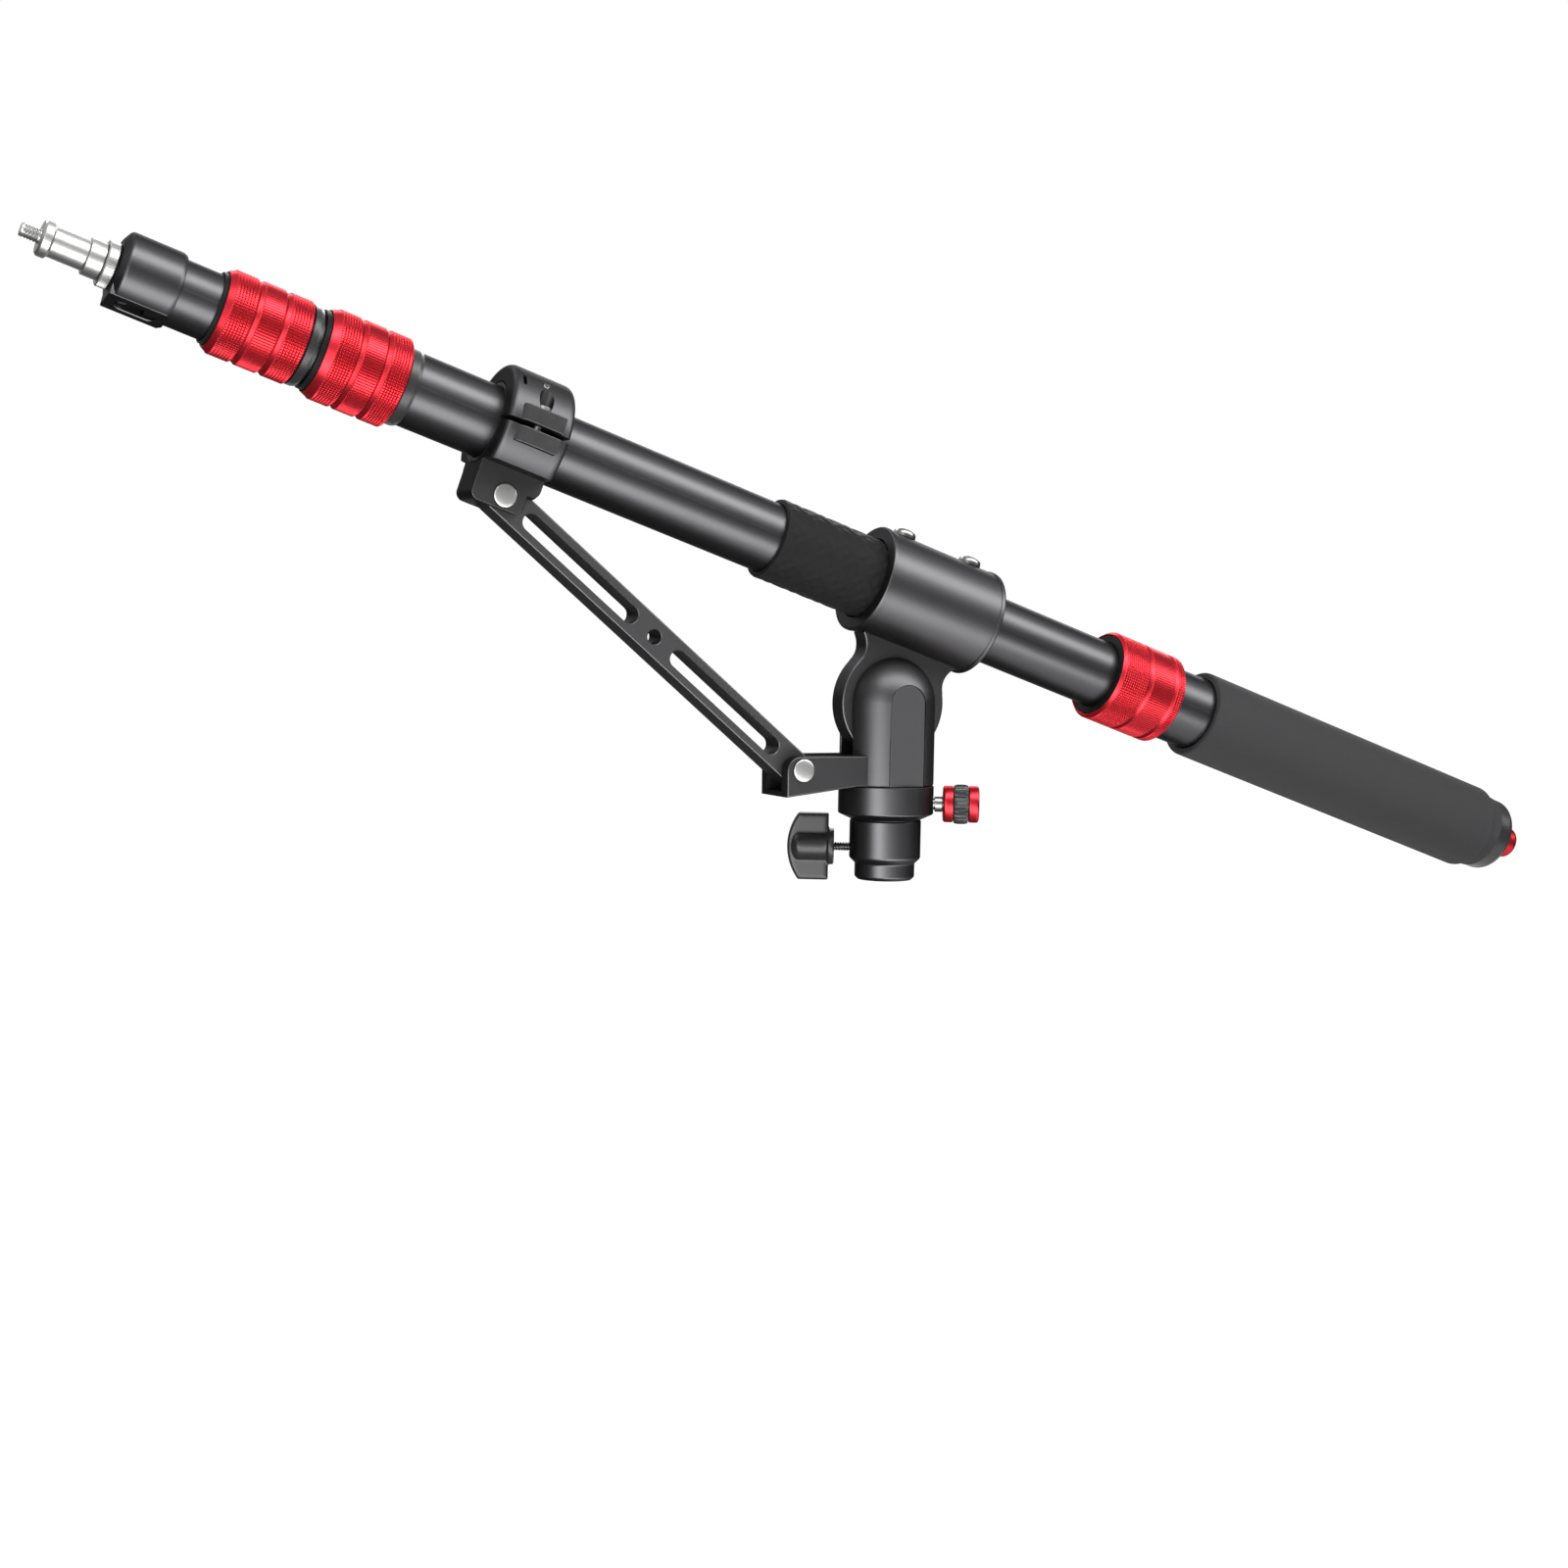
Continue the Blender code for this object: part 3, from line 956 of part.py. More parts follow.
def build_boom(root):
    """Everything that tilts: sleeve, tubes, locks, clamp, front end and handle."""
    tilt = empty("tilt_pivot", (0, 0, PIVOT_HEIGHT), (0, TILT, 0), root)
    tube = empty("tube_axis", (0, 0, BOOM_RISE), (0, 90, 0), tilt)
    build_sleeve(tube)
    build_sleeve_screws(tube)
    build_grip_wrap(tube)
    build_clamp(tube)

    build_tube("main_tube", MAIN_TUBE_R, MAIN_BORE_R, -MAIN_FRONT_REACH, MAIN_TUBE_REAR, tube)
    build_tube("mid_tube", MID_TUBE_R, MID_BORE_R, MID_TUBE_FRONT, MID_TUBE_REAR, tube)
    build_tube("front_tube", FRONT_TUBE_R, FRONT_BORE_R, HUB_REAR - HUB_SOCKET + GAP, FRONT_TUBE_REAR, tube)
    build_tube("handle_tube", HANDLE_TUBE_R, HANDLE_BORE_R, HANDLE_TUBE_FRONT, HANDLE_TUBE_REAR, tube)
    build_tube_plug("main_tube_plug", MAIN_TUBE_R, MAIN_BORE_R, MAIN_TUBE_REAR, tube)
    build_tube_plug("mid_tube_plug", MID_TUBE_R, MID_BORE_R, MID_TUBE_REAR, tube)
    build_tube_plug("front_tube_plug", FRONT_TUBE_R, FRONT_BORE_R, FRONT_TUBE_REAR, tube)

    build_collar(1, COLLAR_1, COLLAR_1_FRONT, FRONT_TUBE_R, tube, tube)
    build_collar(2, COLLAR_2, COLLAR_2_FRONT, MID_TUBE_R, tube, tube)
    build_collar(3, COLLAR_3, HANDLE_FRONT, MAIN_TUBE_R, tube, tube)
    build_ferrule("ferrule_1", COLLAR_1, COLLAR_1_FRONT, MID_TUBE_R, FRONT_TUBE_R + GAP,
                  FERRULE_1_SHOULDER_R, FERRULE_1_SHOULDER, tube)
    build_ferrule("ferrule_2", COLLAR_2, COLLAR_2_FRONT, MAIN_TUBE_R, MID_TUBE_R + GAP,
                  FERRULE_2_SHOULDER_R, FERRULE_2_SHOULDER, tube)
    build_front_end(tube)
    build_handle(tube)


def main():
    clear_scene()
    root = empty("boom_arm")
    build_socket(root)
    build_pan_knob(root)
    build_wing_knob(root)
    build_yoke(root)
    build_yoke_fittings(root)
    build_strut(root)
    build_boom(root)


main()
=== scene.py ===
# %% [markdown]
# Telescopic boom arm: the looks
#
# The object is a boom arm for a light stand. A cast head pans on the stand, a slotted yoke
# tilts the boom, and a strut props it. Two thinner tubes slide out of the front end, and a
# foam handle slides out of the rear one. Every piece below is made in the frame of the packed
# CAD model, so that each fine mesh sits exactly where its plain solid sits and moves with it.
# First the model is loaded, and its box is kept.

# %% Load the frame
import json
import math
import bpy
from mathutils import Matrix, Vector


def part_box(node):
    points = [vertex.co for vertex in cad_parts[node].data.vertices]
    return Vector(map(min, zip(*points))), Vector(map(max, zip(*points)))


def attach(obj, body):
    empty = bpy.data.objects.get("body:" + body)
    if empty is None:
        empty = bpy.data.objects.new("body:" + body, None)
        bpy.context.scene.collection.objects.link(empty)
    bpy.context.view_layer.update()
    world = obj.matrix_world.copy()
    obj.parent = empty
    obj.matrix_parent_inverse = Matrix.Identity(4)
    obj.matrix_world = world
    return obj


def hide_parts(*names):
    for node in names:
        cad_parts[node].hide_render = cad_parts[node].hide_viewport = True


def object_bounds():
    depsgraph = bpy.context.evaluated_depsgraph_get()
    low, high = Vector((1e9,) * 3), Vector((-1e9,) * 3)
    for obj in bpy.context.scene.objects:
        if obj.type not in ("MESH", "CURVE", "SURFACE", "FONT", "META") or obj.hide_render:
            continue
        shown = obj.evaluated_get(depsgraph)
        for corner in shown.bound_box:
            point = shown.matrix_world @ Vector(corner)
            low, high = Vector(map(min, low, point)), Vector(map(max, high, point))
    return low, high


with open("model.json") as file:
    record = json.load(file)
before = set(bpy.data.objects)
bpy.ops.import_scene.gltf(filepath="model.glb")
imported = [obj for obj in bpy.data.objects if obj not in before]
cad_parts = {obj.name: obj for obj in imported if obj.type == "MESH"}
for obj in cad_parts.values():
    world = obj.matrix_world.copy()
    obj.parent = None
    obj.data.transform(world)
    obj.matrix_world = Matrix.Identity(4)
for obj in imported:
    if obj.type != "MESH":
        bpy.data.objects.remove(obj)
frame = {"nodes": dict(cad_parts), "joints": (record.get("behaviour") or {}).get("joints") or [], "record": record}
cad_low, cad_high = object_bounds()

from types import SimpleNamespace

import bmesh
import bpy
from mathutils import Matrix, Quaternion, Vector

MM = 0.001


def sizes(**values):
    """Sizes given in millimetres, kept in metres under their names."""
    return SimpleNamespace(**{name: value * MM for name, value in values.items()})


print("CAD box in mm:", [round(side / MM, 1) for side in cad_high - cad_low])

# %% [markdown]
# Most pieces are turned round one of four axes: the boom's tube, the upright pan axis and the
# two knobs' screws. A frame on each axis lets a piece be written as a lathe worker would draw
# it, as radii along stations. The axes come from the model's own joints. In every such frame
# Z runs along the axis, and on the tube and the knobs X points down.

# %% Frames on the axes
joints = {joint["name"]: joint for joint in frame["joints"]}
body_of_node = {node: body for body, nodes in frame["record"]["behaviour"]["bodies"].items()
                for node in nodes}
UP = Vector((0, 0, 1))
AWAY = Vector((0, 1, 0))


def frame_at(place, x, y, z):
    """Frame at a place, from the directions of its three axes."""
    return Matrix.Translation(place) @ Matrix((x, y, z)).transposed().to_4x4()


def axis_frame(point, direction):
    """Frame with Z along a direction that isn't upright, and X pointing down from it."""
    along = Vector(direction).normalized()
    across = UP.cross(along).normalized()
    return frame_at(point, across.cross(along), across, along)


def reach(node, axis):
    """First station, last station and outer radius of a CAD node about an axis."""
    points = [axis.inverted() @ vertex.co for vertex in frame["nodes"][node].data.vertices]
    stations = [point.z for point in points]
    return min(stations), max(stations), max(math.hypot(point.x, point.y) for point in points)


pivot = Vector(joints["boom_tilt"]["pos_m"])
boom_direction = Vector(joints["handle_extend"]["axis"])
tube_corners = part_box("main_tube")
tube_middle = (tube_corners[0] + tube_corners[1]) / 2
foot = tube_middle - boom_direction * (tube_middle - pivot).dot(boom_direction)
TUBE = axis_frame(foot, boom_direction)
HEAD = Matrix.Identity(4)
PAN_KNOB, WING_KNOB = [axis_frame(joints[name]["pos_m"], joints[name]["axis"])
                       for name in ("pan_knob_turn", "wing_knob_turn")]
print("The tube's axis runs", round((foot - pivot).length / MM, 1), "mm above the tilt bolt")

# %% [markdown]
# The camera stands at the photograph's viewpoint: a little to the front end's side of the
# boom, at the height of the head, looking very slightly down. Its place was worked out from
# the ends and the widths of the tubes. A long lens keeps the boom's two ends alike in scale.

# %% Camera
CAMERA_PLACE = Vector((-0.597, -1.095, 0.133))
CAMERA_AIM = Vector((0.4420, 0.8943, -0.0698))
CAMERA_ROLL = math.radians(1.03)
CAMERA_LENS = 58.5

scene = bpy.context.scene
camera = bpy.data.objects.new("camera", bpy.data.cameras.new("camera"))
scene.collection.objects.link(camera)
camera.data.lens = CAMERA_LENS
camera.rotation_mode = "QUATERNION"
camera.location = CAMERA_PLACE
aim = CAMERA_AIM.to_track_quat("-Z", "Y")
camera.rotation_quaternion = aim @ Quaternion(UP, CAMERA_ROLL)
scene.camera = camera
scene.view_settings.view_transform = "Standard"
print("Camera with a", camera.data.lens, "mm lens")

# %% [markdown]
# Materials are small networks of nodes, and a few helpers keep them short. They fill input
# sockets, each with a plain value or with a link from another node. They add a node or a sum,
# blend two shaders, and start a material.

# %% Node helpers
def put(tree, sockets, **values):
    """Fill input sockets by name, each with a value or with a link from an output socket."""
    for label, value in values.items():
        fill_socket(tree, sockets[label.replace("_", " ")], value)


def fill_socket(tree, socket, value):
    if isinstance(value, bpy.types.NodeSocket):
        tree.links.new(value, socket)
    else:
        socket.default_value = value


def add_node(tree, kind, settings=None, **values):
    """Add a node. Settings are its properties, and values go on its input sockets."""
    node = tree.nodes.new("ShaderNode" + kind)
    for key, value in (settings or {}).items():
        setattr(node, key, value)
    put(tree, node.inputs, **values)
    return node


def maths(tree, operation, *values, clamp=False):
    """Add a math node with its values in order, and give its result."""
    node = add_node(tree, "Math", {"operation": operation, "use_clamp": clamp})
    for socket, value in zip(node.inputs, values):
        fill_socket(tree, socket, value)
    return node.outputs["Value"]


def mix_shaders(tree, share, first, second):
    """Blend two shaders, the second by its share."""
    mix = add_node(tree, "MixShader", Fac=share)
    tree.links.new(first.outputs[0], mix.inputs[1])
    tree.links.new(second.outputs[0], mix.inputs[2])
    return mix.outputs["Shader"]


def new_material(name, **values):
    """Material with values on its Principled shader. Returns it, its nodes and the shader."""
    material = bpy.data.materials.new(name)
    material.use_nodes = True
    shader = material.node_tree.nodes["Principled BSDF"]
    put(material.node_tree, shader.inputs, **values)
    return material, material.node_tree, shader


print("Node helpers ready")

# %% [markdown]
# The background is pure white. The world shows white to the camera and to reflections, and
# gives the object only a soft fill. The floor shows itself to the camera as mostly white with
# some of its real shading, so the object's shadow stays on it.

# %% World and floor
WHITE = (1, 1, 1, 1)
FILL = 0.42
FLOOR_GREY = (0.85, 0.85, 0.85, 1)
FLOOR_ROUGHNESS = 0.9
FLOOR_SHARE = 0.75
FLOOR_GLOW = 1.25
FLOOR_SIZE = 12
FLOOR_DROP = 0.45
centre = (cad_low + cad_high) / 2

world = bpy.data.worlds.new("studio")
world.use_nodes = True
tree = world.node_tree
tree.nodes.clear()
fill = add_node(tree, "Background", Color=WHITE, Strength=FILL)
white = add_node(tree, "Background", Color=WHITE)
ray = add_node(tree, "LightPath").outputs
mirrored = maths(tree, "MAXIMUM", ray["Is Glossy Ray"], ray["Is Transmission Ray"])
seen = maths(tree, "MAXIMUM", ray["Is Camera Ray"], mirrored)
add_node(tree, "OutputWorld", Surface=mix_shaders(tree, seen, fill, white))
scene.world = world


def floor_material():
    material, tree, shader = new_material(
        "pale_floor", Base_Color=FLOOR_GREY, Roughness=FLOOR_ROUGHNESS)
    glow = add_node(tree, "Emission", Strength=FLOOR_GLOW)
    seen = add_node(tree, "LightPath").outputs["Is Camera Ray"]
    share = maths(tree, "MULTIPLY", seen, FLOOR_SHARE)
    put(tree, tree.nodes["Material Output"].inputs, Surface=mix_shaders(tree, share, shader, glow))
    return material


def flat_sheet(name, length, width, material):
    """Flat stage piece: a floor, or a card that only reflections see."""
    bm = bmesh.new()
    corners = [(-length, -width), (length, -width), (length, width), (-length, width)]
    bm.faces.new([bm.verts.new((x / 2, y / 2, 0)) for x, y in corners])
    mesh = bpy.data.meshes.new(name)
    bm.to_mesh(mesh)
    bm.free()
    mesh.materials.append(material)
    sheet = bpy.data.objects.new(name, mesh)
    return sheet


floor = flat_sheet("floor", FLOOR_SIZE, FLOOR_SIZE, floor_material())
floor.location = (centre.x, centre.y, cad_low.z - FLOOR_DROP)
scene.collection.objects.link(floor)
print("White world, and a floor", FLOOR_DROP, "m below the head")

# %% [markdown]
# Black anodised metal has almost no colour of its own, so the eye reads its shape from what it
# mirrors. A product studio hangs one long soft box above the boom and another low in front of
# it, with dark card between them. That gives each tube two light bands with a black one
# between. The boxes here lie along the tube, so the bands run its whole length. The head stands
# upright and mirrors what stands round it on the level, so it has an upright soft box of its
# own on its left, and dark cards beside and behind it for its edges. The dark cards are seen
# in reflections alone, and take no light away.

# %% Studio
HEAD_MIDDLE = Vector((0, 0, 0.06))
CARD_GREY = (0.08, 0.08, 0.08, 1)
# Name, length, width and distance in metres, angle in degrees, and a soft box's power in watts.
ROUND_BOOM = [("top_box", 2.2, 0.42, 0.9, 54, 32), ("low_box", 2.2, 0.42, 0.72, -40, 22),
              ("rear_box", 2.0, 0.3, 1.1, 140, 14), ("middle_card", 3.0, 0.7, 1.9, 12, None),
              ("under_card", 3.0, 0.9, 0.5, -105, None)]
ROUND_HEAD = [("head_box", 0.35, 0.9, 1.1, -46, 4), ("left_card", 1.7, 1.2, 1.3, -105, None),
              ("right_card", 2.2, 1.2, 1.3, 88, None),
              ("rear_right_card", 1.6, 0.5, 1.3, 135, None),
              ("rear_left_card", 1.8, 0.5, 1.3, -145, None)]
boom_up = -(TUBE.to_3x3() @ Vector((1, 0, 0)))
card_black = new_material("dark_card", Base_Color=CARD_GREY, Specular_IOR_Level=0.0)[0]


def soft_box(name, length, width, power):
    light = bpy.data.lights.new(name, "AREA")
    light.shape = "RECTANGLE"
    light.size = length
    light.size_y = width
    light.energy = power
    lamp = bpy.data.objects.new(name, light)
    lamp.visible_camera = False
    return lamp


def dark_card(name, length, width):
    """Card that reflections see and nothing else does."""
    card = flat_sheet(name, length, width, card_black)
    card.visible_camera = False
    card.visible_diffuse = False
    card.visible_transmission = False
    card.visible_shadow = False
    return card


def facing_boom(turn, distance):
    """Frame round the boom's line, facing it. Angle 0 is level in front and 90 is above."""
    place = centre + distance * (math.sin(turn) * boom_up - math.cos(turn) * AWAY)
    back = (place - centre).normalized()
    return frame_at(place, boom_direction, back.cross(boom_direction).normalized(), back)


def facing_head(turn, distance):
    """Upright frame round the head, facing it. Angle 0 is in front and 90 is on the right."""
    back = Vector((math.sin(turn), -math.cos(turn), 0))
    return frame_at(HEAD_MIDDLE + distance * back, UP.cross(back), UP, back)


for rows, facing in ((ROUND_BOOM, facing_boom), (ROUND_HEAD, facing_head)):
    for name, length, width, distance, angle, power in rows:
        sheet = soft_box(name, length, width, power) if power else dark_card(name, length, width)
        sheet.matrix_world = facing(math.radians(angle), distance)
        scene.collection.objects.link(sheet)
print(len(ROUND_BOOM + ROUND_HEAD), "soft boxes and dark cards")

# %% [markdown]
# Several finishes share the same small effects, so each effect is a node group, built once and
# given its own values in every material. The first is grain: a cloud of noise that breaks up
# the roughness, as handling and the bead blast before anodising do, and lifts the surface a
# little. The groups put out only values and colours that change over the surface, and the
# shader stays in the material.

# %% Node group: grain
FLOAT = "NodeSocketFloat"
COLOUR = "NodeSocketColor"


def new_group(name, inputs, outputs):
    """Start a node group. Inputs are named with their first values, outputs with their kinds."""
    group = bpy.data.node_groups.new(name, "ShaderNodeTree")
    for label, value in inputs.items():
        kind = COLOUR if isinstance(value, tuple) else FLOAT
        socket = group.interface.new_socket(label, in_out="INPUT", socket_type=kind)
        socket.default_value = value
    for label, kind in outputs.items():
        group.interface.new_socket(label, in_out="OUTPUT", socket_type=kind)
    start = group.nodes.new("NodeGroupInput").outputs
    end = group.nodes.new("NodeGroupOutput").inputs
    return group, start, end


def noise(tree, settings=None, **values):
    return add_node(tree, "TexNoise", settings, **values).outputs["Fac"]


def build_grain():
    group, start, end = new_group("grain", {"Scale": 900.0, "Roughness": 0.4, "Spread": 0.05},
                                  {"Roughness": FLOAT, "Height": FLOAT})
    place = add_node(group, "TexCoord").outputs["Object"]
    fine = noise(group, Vector=place, Scale=start["Scale"], Detail=3.0, Roughness=0.6)
    broad = noise(group, Vector=place, Scale=45.0, Detail=2.0)
    middle = maths(group, "SUBTRACT", maths(group, "ADD", fine, broad), 1.0)
    spread = maths(group, "MULTIPLY_ADD", middle, start["Spread"], start["Roughness"])
    put(group, end, Roughness=spread, Height=fine)
    return group


GRAIN = build_grain()
print("Group", GRAIN.name, "with", len(GRAIN.nodes), "nodes")

# %% [markdown]
# Turned metal keeps fine rings from the tool that cut it. The rings lie across the piece's own
# axis, which is Z in each turned piece's frame. Noise along that axis alone gives them their
# uneven depth.

# %% Node group: turning marks
def build_turning_marks():
    group, start, end = new_group("turning_marks", {"Marks per metre": 2500.0}, {"Height": FLOAT})
    place = add_node(group, "TexCoord").outputs["Object"]
    station = add_node(group, "SeparateXYZ", Vector=place).outputs["Z"]
    along = maths(group, "MULTIPLY", station, start["Marks per metre"])
    put(group, end, Height=noise(group, {"noise_dimensions": "1D"}, W=along, Scale=1.0, Detail=2.0))
    return group


TURNING_MARKS = build_turning_marks()
print("Group", TURNING_MARKS.name, "with", len(TURNING_MARKS.nodes), "nodes")

# %% [markdown]
# The outer edges of a coated part are rubbed first, and look a little lighter. The lighter edge
# colour also stands in for the thin highlight along each broken edge, so it is partly painted
# highlight. Cycles knows how sharply a mesh bends at each point, and calls it pointiness. The
# group turns that into a thin broken mask along the edges and mixes the worn and highlight colour in.

# %% Node group: edge wear and painted edge highlight
def build_edge_wear():
    group, start, end = new_group(
        "edge_wear", {"Colour": (0.03, 0.03, 0.03, 1), "Worn colour": (0.2, 0.2, 0.2, 1),
                      "Amount": 0.5}, {"Colour": COLOUR})
    place = add_node(group, "TexCoord").outputs["Object"]
    bend = add_node(group, "NewGeometry").outputs["Pointiness"]
    sharp = add_node(group, "MapRange", Value=bend, From_Min=0.53, From_Max=0.62)
    patches = noise(group, Vector=place, Scale=160.0, Detail=4.0)
    broken = maths(group, "MULTIPLY", sharp.outputs["Result"], patches)
    share = maths(group, "MULTIPLY", broken, start["Amount"], clamp=True)
    # The lighter colour mixed in on convex edges is edge wear and partly a painted highlight.
    mix = add_node(group, "Mix", {"data_type": "RGBA"}, Factor=share)
    first, second = [socket for socket in mix.inputs if socket.type == "RGBA"]
    group.links.new(start["Colour"], first)
    group.links.new(start["Worn colour"], second)
    put(group, end, Colour=next(socket for socket in mix.outputs if socket.type == "RGBA"))
    return group


EDGE_WEAR_AND_HIGHLIGHT = build_edge_wear()
print("Group", EDGE_WEAR_AND_HIGHLIGHT.name, "with", len(EDGE_WEAR_AND_HIGHLIGHT.nodes), "nodes")

# %% [markdown]
# Each finish is one material with a Principled shader. The table gives a finish its colour,
# the colour of its edges, which is worn and partly painted highlight, and its roughness, then
# what differs from the usual: how much edge wear and painted highlight it has, its metal share,
# grain and tool marks. Black and red anodised aluminium are metals with a dyed skin, so their
# reflections carry the dye. The castings are blasted first and so are duller than the turned
# tubes. Foam, rubber and nylon are no metals: they scatter light and have a coarser grain.

# %% Finishes
BUMP_DEPTH = 0.2 * MM


# Wear and the worn colour make the edges lighter: real wear, and partly a painted highlight.
USUAL = {"wear": 0.3, "spread": 0.06, "metal": 0.0, "edge": 1.0, "grain": 1400, "bump": 0.02,
         "marks": None, "shine": 0.5}
BLACK_METAL = {"metal": 1.0, "edge": 0.35}


def recipe(slot, colour, worn_and_highlight, roughness, **special):
    """Values of one finish. Shine is its reflection head on, and edge its tint at grazing."""
    return {**USUAL, **special, "slot": slot, "colour": (*colour, 1), "worn_and_highlight": (*worn_and_highlight, 1),
            "roughness": roughness}


FINISHES = {
    "black_anodised": recipe("black_anodised", (0.05, 0.05, 0.052), (0.16, 0.16, 0.16), 0.36,
                             wear=0.35, spread=0.05, marks=2600, **BLACK_METAL),
    "black_satin": recipe("black_anodised", (0.055, 0.055, 0.057), (0.16, 0.16, 0.16), 0.4,
                          wear=0.35, spread=0.05, marks=2600, **BLACK_METAL),
    "black_bar": recipe("black_anodised", (0.066, 0.066, 0.068), (0.066, 0.066, 0.068), 0.42,
                        wear=0.0, spread=0.0, bump=0.0, **BLACK_METAL),
    "black_casting": recipe("black_anodised", (0.047, 0.047, 0.0485), (0.13, 0.13, 0.13), 0.42,
                            wear=0.45, grain=1800, bump=0.05, **BLACK_METAL),
    "black_paint": recipe("black_paint", (0.02, 0.02, 0.021), (0.1, 0.1, 0.1), 0.46,
                          wear=0.2, spread=0.05, grain=1500, bump=0.03, shine=0.28),
    "black_plastic": recipe("black_plastic", (0.009, 0.009, 0.0095), (0.03, 0.03, 0.03), 0.33,
                            grain=1100, bump=0.03, shine=0.28),
    "dull_plastic": recipe("black_plastic", (0.004, 0.004, 0.0042), (0.02, 0.02, 0.02), 0.5,
                           wear=0.2, grain=1100, bump=0.03, shine=0.06),
    "white_nylon": recipe("white_nylon", (0.7, 0.69, 0.65), (0.8, 0.79, 0.76), 0.5,
                          spread=0.05, grain=900, bump=0.04),
    "red_anodised": recipe("red_anodised", (0.35, 0.016, 0.023), (0.5, 0.09, 0.1), 0.32,
                           spread=0.05, metal=0.9, edge=0.4, grain=1600, marks=2800),
    "bright_steel": recipe("bright_steel", (0.33, 0.33, 0.326), (0.42, 0.42, 0.415), 0.38,
                           wear=0.2, metal=1.0, edge=0.6, grain=1700, marks=3000),
    "dark_steel": recipe("bright_steel", (0.16, 0.16, 0.158), (0.4, 0.4, 0.395), 0.3,
                         wear=0.4, metal=1.0, grain=1700, marks=3000),
    "rubber": recipe("rubber", (0.005, 0.005, 0.0053), (0.03, 0.03, 0.03), 0.7,
                     spread=0.08, grain=1300, bump=0.12, shine=0.08),
    "foam": recipe("foam", (0.014, 0.014, 0.0148), (0.06, 0.06, 0.062), 0.88,
                   wear=0.2, grain=1000, bump=0.3, shine=0.2),
}


def add_bump(tree, strength, **links):
    """Bump from a height, on top of the normal below it."""
    bump = add_node(tree, "Bump", Strength=strength, Distance=BUMP_DEPTH, **links)
    return bump.outputs["Normal"]


def build_finish(name, look):
    material, tree, shader = new_material(
        name, Metallic=look["metal"], Specular_IOR_Level=look["shine"],
        Specular_Tint=(look["edge"], look["edge"], look["edge"], 1))
    grain = add_node(tree, "Group", {"node_tree": GRAIN}, Scale=look["grain"],
                     Roughness=look["roughness"], Spread=look["spread"]).outputs
    # Edge colour: wear, and partly a painted highlight along the broken edges.
    wear = add_node(tree, "Group", {"node_tree": EDGE_WEAR_AND_HIGHLIGHT}, Colour=look["colour"],
                    Worn_colour=look["worn_and_highlight"], Amount=look["wear"]).outputs
    normal = add_bump(tree, look["bump"], Height=grain["Height"])
    if look["marks"]:
        rings = add_node(tree, "Group", {"node_tree": TURNING_MARKS}, Marks_per_metre=look["marks"])
        normal = add_bump(tree, look["bump"] * 2, Height=rings.outputs["Height"], Normal=normal)
    put(tree, shader.inputs, Base_Color=wear["Colour"], Roughness=grain["Roughness"], Normal=normal)
    return material


finishes = {name: build_finish(name, look) for name, look in FINISHES.items()}
print(len(finishes), "finishes")

# %% [markdown]
# A lathe turns a profile into a solid. The helper below does the same: it takes radii along
# stations, rounds each corner a little as a real edge is broken, and makes one ring of points
# for each row. A large piece has 128 points round it, which keep its outline smooth in a close
# view. Small pieces take fewer.

# %% Turned pieces
ROUND_LARGE = 128
ROUND_SMALL = 64
EDGE_BREAK = 0.25 * MM
CORNER_STEPS = 3
CORNER_SHARE = 0.45
SHARP_ANGLE = math.radians(32)
TINY = 1e-7


def break_corners(profile, closed, corner=EDGE_BREAK):
    """Round the corners of a profile. A point may name its own corner size as a third number."""
    rows = []
    count = len(profile)
    for i, point in enumerate(profile):
        here = Vector(point[:2])
        size = point[2] if len(point) > 2 else corner
        if not closed and i in (0, count - 1) or size == 0:
            rows.append(tuple(here))
            continue
        before = Vector(profile[i - 1][:2]) - here
        after = Vector(profile[(i + 1) % count][:2]) - here
        cut = min(size, before.length * CORNER_SHARE, after.length * CORNER_SHARE)
        first = here + before.normalized() * cut
        last = here + after.normalized() * cut
        steps = CORNER_STEPS if cut < MM else 3 * CORNER_STEPS
        for step in range(steps + 1):
            t = step / steps
            rows.append(tuple(first * (1 - t) ** 2 + here * (2 * t * (1 - t)) + last * t ** 2))
    return rows


def grid_solid(rings, closed=False):
    """Solid from rings of points. Unless it closes on itself, its end rings are filled."""
    bm = bmesh.new()
    made = [[bm.verts.new(point) for point in ring] for ring in rings]
    pairs = list(zip(made, made[1:]))
    if closed:
        pairs.append((made[-1], made[0]))
    for low, high in pairs:
        count = max(len(low), len(high))
        for i in range(count):
            j = (i + 1) % count
            around = ((low, i), (low, j), (high, j), (high, i))
            corners = [ring[k % len(ring)] for ring, k in around]
            bm.faces.new([v for k, v in enumerate(corners) if v is not corners[k - 1]])
    if not closed:
        for ring in (made[0], made[-1]):
            if len(ring) > 1:
                bm.faces.new(ring)
    bmesh.ops.recalc_face_normals(bm, faces=bm.faces)
    return bm


def is_hollow(profile):
    """Whether a profile stays clear of the axis, so that it closes on itself."""
    return profile[0][0] > TINY and profile[-1][0] > TINY


def turned(profile, steps=ROUND_LARGE, relief=None, angles=None):
    """Turn a profile of (radius, station) rows. Relief adds to the radius at (angle, row)."""
    angles = angles or [math.tau * i / steps for i in range(steps)]
    rings = []
    for row, (radius, station) in enumerate(profile):
        if radius < TINY:
            rings.append([(0, 0, station)])
            continue
        ring = []
        for column, angle in enumerate(angles):
            r = radius + (relief(angle, row, column) if relief else 0)
            ring.append((r * math.cos(angle), r * math.sin(angle), station))
        rings.append(ring)
    return grid_solid(rings, is_hollow(profile))


